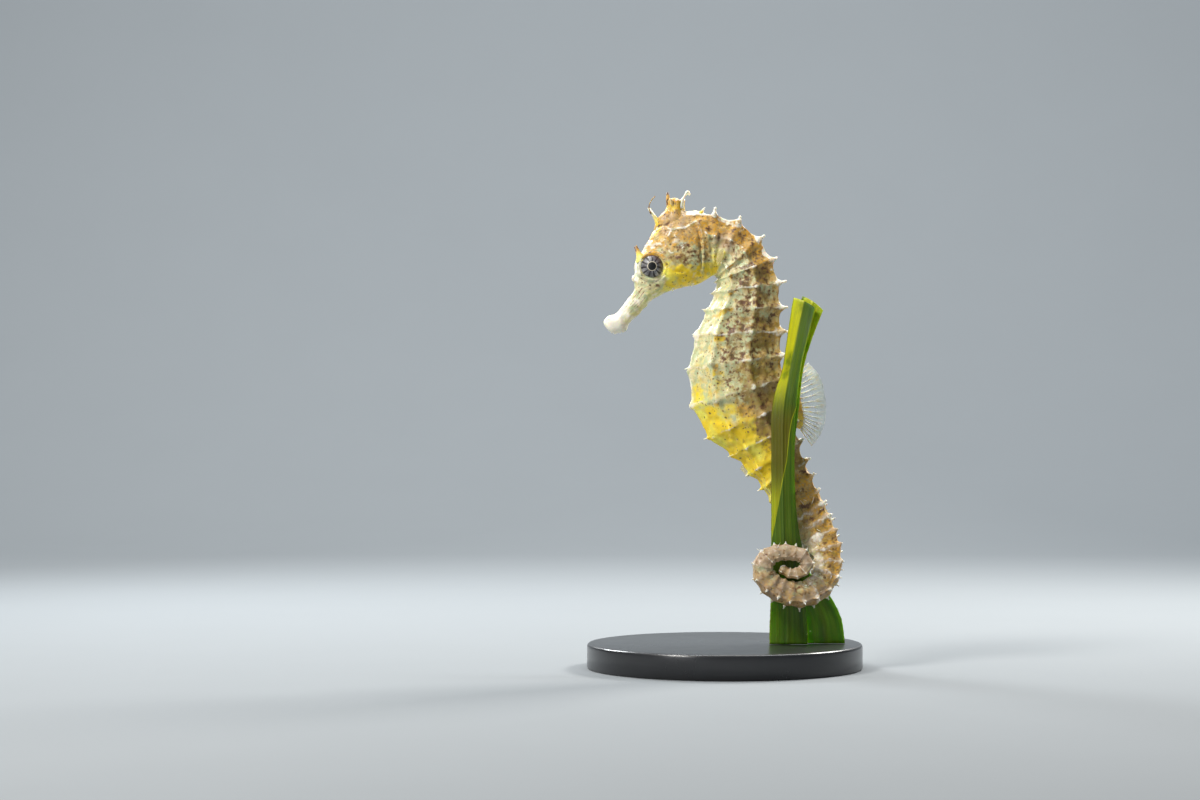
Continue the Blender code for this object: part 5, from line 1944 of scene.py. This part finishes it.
@dataclass
class Studio:
    """Floor, lights and camera."""

    camera_place: tuple[float, float, float] = (-29.9, -680.0, 64.3)
    lens: float = 85.0
    # Flat part of the floor towards the camera and away from it, its curve's radius, and the wall's top.
    floor_depth: tuple[float, float] = (-1500.0, 500.0)
    curve: float = 300.0
    wall_top: float = 1800.0
    floor_width: float = 5000.0
    floor: Colour = (0.21, 0.225, 0.235)
    room: Colour = (0.80, 0.90, 1.0)
    room_strength: float = 0.24

    def build(self) -> None:
        """Sets up everything round the model."""
        self.sweep()
        self.sky()
        self.light("key", (-320, -260, 440), (120, 120), 3.0, (1.0, 0.97, 0.92))
        self.light("fill", (-330, -400, 110), (220, 160), 0.42, (0.97, 0.98, 1.0))
        self.light("rim_left", (-220, 260, 260), (110, 110), 1.1, (0.95, 0.98, 1.0))
        self.light("rim_right", (240, 220, 300), (110, 110), 2.1, (1.0, 0.98, 0.94))
        self.light("backdrop", (0, 200, 900), (900, 200), 15.0, (0.95, 0.98, 1.0), (0.0, 800.0, 350.0))
        # The plain transform keeps the animal's strong yellow and green.
        bpy.context.scene.view_settings.view_transform = "Standard"
        camera = bpy.data.cameras.new("camera")
        camera.lens = self.lens
        camera.clip_start = 0.01
        camera.clip_end = 20.0
        made = bpy.data.objects.new("camera", camera)
        made.location = Vector(self.camera_place) * MM
        made.rotation_euler = (math.pi / 2, 0.0, 0.0)
        bpy.context.scene.collection.objects.link(made)
        bpy.context.scene.camera = made

    def sweep(self) -> None:
        """Lays a pale floor that curves up into a backdrop."""
        near, far = self.floor_depth
        turns = [math.pi / 2 * i / 12 for i in range(1, 13)]
        profile = [(near, 0.0), (far, 0.0)]
        profile += [(far + self.curve * math.sin(a), self.curve - self.curve * math.cos(a)) for a in turns]
        profile.append((far + self.curve, self.wall_top))
        bm = bmesh.new()
        verts = [bm.verts.new((-self.floor_width / 2, y, z)) for y, z in profile]
        edges = [bm.edges.new(pair) for pair in zip(verts, verts[1:])]
        made = bmesh.ops.extrude_edge_only(bm, edges=edges)["geom"]
        moved = [item for item in made if isinstance(item, bmesh.types.BMVert)]
        bmesh.ops.translate(bm, vec=(self.floor_width, 0, 0), verts=moved)
        bmesh.ops.scale(bm, vec=(MM, MM, MM), verts=bm.verts)
        mesh = bpy.data.meshes.new("backdrop")
        bm.to_mesh(mesh)
        bm.free()
        mesh.shade_smooth()
        book = NodeBook("backdrop paper")
        worn = tuple(c * 0.97 for c in self.floor)
        book.set(Base_Color=book.mix(book.noise(30, 3.0), self.floor, worn), Roughness=0.9)
        mesh.materials.append(book.material)
        made_object = bpy.data.objects.new("backdrop", mesh)
        bpy.context.scene.collection.objects.link(made_object)

    def sky(self) -> None:
        """Gives the room a soft even light."""
        world = bpy.data.worlds.new("room")
        world.use_nodes = True
        background = world.node_tree.nodes["Background"]
        background.inputs["Color"].default_value = (*self.room, 1.0)
        background.inputs["Strength"].default_value = self.room_strength
        bpy.context.scene.world = world

    def light(self, name: str, place: tuple[float, float, float], size: tuple[float, float], power: float,
              colour: Colour, target: tuple[float, float, float] = (0.0, 0.0, 70.0)) -> None:
        """Adds a soft lamp.

        Args:
            name: Its name.
            place: Where it stands.
            size: Its width and height.
            power: Its strength in watts.
            colour: Its colour.
            target: The point that it faces.
        """
        lamp = bpy.data.lights.new(name, "AREA")
        lamp.shape = "RECTANGLE"
        lamp.size, lamp.size_y = (side * MM for side in size)
        lamp.energy = power
        lamp.color = colour
        made = bpy.data.objects.new(name, lamp)
        made.location = Vector(place) * MM
        made.rotation_euler = (Vector(target) * MM - made.location).to_track_quat("-Z", "Y").to_euler()
        bpy.context.scene.collection.objects.link(made)


FRONT_LEAF = (
    ((15.0, -4.4, 6.3), 4.6, 0), ((15.0, -4.5, 12.0), 4.5, 4), ((14.7, -5.4, 18.5), 4.1, 12),
    ((14.1, -7.0, 24.0), 3.6, 5), ((13.8, -8.2, 29.0), 3.2, 0), ((13.5, -8.6, 38.0), 2.9, -5),
    ((13.4, -9.1, 52.0), 2.8, -5), ((13.6, -9.4, 62.0), 2.9, -10), ((15.2, -9.7, 71.0), 3.0, -45),
    ((16.7, -9.9, 79.0), 3.1, -40), ((18.6, -9.9, 88.0), 3.0, -20))
BACK_LEAF = (
    ((24.2, -2.0, 6.3), 4.6, 0), ((23.6, -2.0, 11.5), 4.3, 3), ((21.3, -2.4, 17.0), 3.6, 12),
    ((17.9, -3.5, 22.0), 2.9, 26), ((15.8, -6.1, 29.0), 2.6, 12), ((14.2, -7.0, 38.0), 2.6, 0),
    ((13.7, -7.5, 52.0), 2.6, -5), ((14.5, -7.8, 62.0), 2.8, -15), ((15.8, -7.8, 71.0), 2.9, -40),
    ((17.6, -8.0, 79.0), 3.0, -30), ((20.8, -8.2, 88.0), 3.0, -15))
CREASE = ((0.40, -0.4), (0.42, -0.05), (0.50, 0.22), (0.55, 0.44), (0.586, 0.64), (0.68, 0.83), (0.74, 1.05),
          (0.76, 1.4))


@dataclass
class Fins:
    """Where the four fins stand, and their finishes: film and soft rays for all but the dorsal fin."""

    flesh: Flesh
    membrane: bpy.types.Material
    film: bpy.types.Material
    bone: bpy.types.Material
    soft: bpy.types.Material
    dorsal_foot: Line = ((16.2, 69.8), (17.3, 66.5), (18.5, 62.5), (18.8, 59.5), (18.3, 57.3))
    dorsal_edge: Line = ((20.2, 73.3), (22.8, 70.2), (24.2, 65.6), (24.3, 60.0), (23.2, 56.2), (21.0, 53.1))
    anal_foot: Line = ((4.6, 49.4), (6.6, 47.4))
    anal_edge: Line = ((3.7, 47.7), (5.6, 45.6))
    pectoral_place: float = 12.3
    # Angles round the body of the foot's ends and of the free edge's ends.
    pectoral_foot: tuple[float, float] = (104, 122)
    pectoral_edge: tuple[float, float] = (92, 127)
    pectoral_length: float = 3.4

    def build(self) -> None:
        """Makes all fins."""
        Fin(self.membrane, self.bone, "dorsal_fin", self.flat(self.dorsal_foot), self.flat(self.dorsal_edge),
            17).build()
        Fin(self.film, self.soft, "anal_fin", self.flat(self.anal_foot), self.flat(self.anal_edge), 5,
            ray_radius=0.05, ripple=0.05).build()
        for side, name in ((1, "pectoral_fin_left"), (-1, "pectoral_fin_right")):
            facing = Vector((-0.35, -side, 0.0)).normalized()
            Fin(self.film, self.soft, name, *self.fan(side), 13, facing, ray_radius=0.05,
                membrane_half=0.025, ripple=0.04).build()

    @staticmethod
    def flat(points: Line) -> list[Vector]:
        """Points (x, z) of the middle plane as vectors."""
        return [Vector((x, 0.0, z)) for x, z in points]

    def fan(self, side: int) -> tuple[list[Vector], list[Vector]]:
        """Finds the foot and the free edge of a pectoral fin.

        Args:
            side: 1 for the left and -1 for the right.

        Returns:
            Points along the foot and along the free edge.
        """
        roots, tips = [], []
        for i in range(7):
            share = i / 6
            back = self.pectoral_length * lerp(0.62, 1.0, math.sin(math.pi * share))
            for made, (low, high), reach, lift in ((roots, self.pectoral_foot, 0.0, -0.1),
                                                   (tips, self.pectoral_edge, back, 0.55)):
                plane = self.flesh.plane(self.pectoral_place + reach / 5)
                turn = math.radians(lerp(low, high, share))
                way = plane.out * (math.cos(turn) * plane.depth) + plane.left * (math.sin(turn) * plane.width)
                point = plane.middle + way + way.normalized() * lift
                made.append(mirrored(point, side))
        return roots, tips


def main() -> None:
    """Builds the model's looks round the frame."""
    logging.basicConfig(level=logging.INFO, format="%(name)s: %(message)s")
    # Without a fixed seed noise_vector, and so the borders of the colours, would differ from run to run.
    noise.seed_set(1)
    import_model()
    flesh = Flesh()
    markings = Markings(flesh)
    hide = SkinFinish().build()
    skin = Skin(hide, flesh, markings, Relief(flesh, markings))
    skin.build()
    Spines(hide, flesh, markings).build()
    HeadDetails(hide, flesh, skin).build()
    Crown(hide, markings).build()
    FinRoot(hide).build()
    Eyes(EyeFinish().build()).build()
    membrane = MembraneFinish((0.62, 0.72, 0.78))
    film = MembraneFinish((0.62, 0.50, 0.14), (0.66, 0.60, 0.30), "pectoral membrane", 0.3, 0.3)
    soft_rays = RayFinish("soft rays", (0.66, 0.58, 0.28), (0.60, 0.42, 0.10))
    Fins(flesh, membrane.build(), film.build(), RayFinish().build(), soft_rays.build()).build()
    Leaf(LeafFinish("front leaf").build(), "leaf_front", FRONT_LEAF, CREASE, (0.5, 0.0)).build()
    back_leaf = LeafFinish("back leaf", green=(0.13, 0.22, 0.004)).build()
    Leaf(back_leaf, "leaf_back", BACK_LEAF, sunny=(0.0, 0.9), seed=9.0).build()
    Stand(AcrylicFinish().build(), SteelFinish().build()).build()
    Studio().build()


if __name__ == "__main__":
    main()
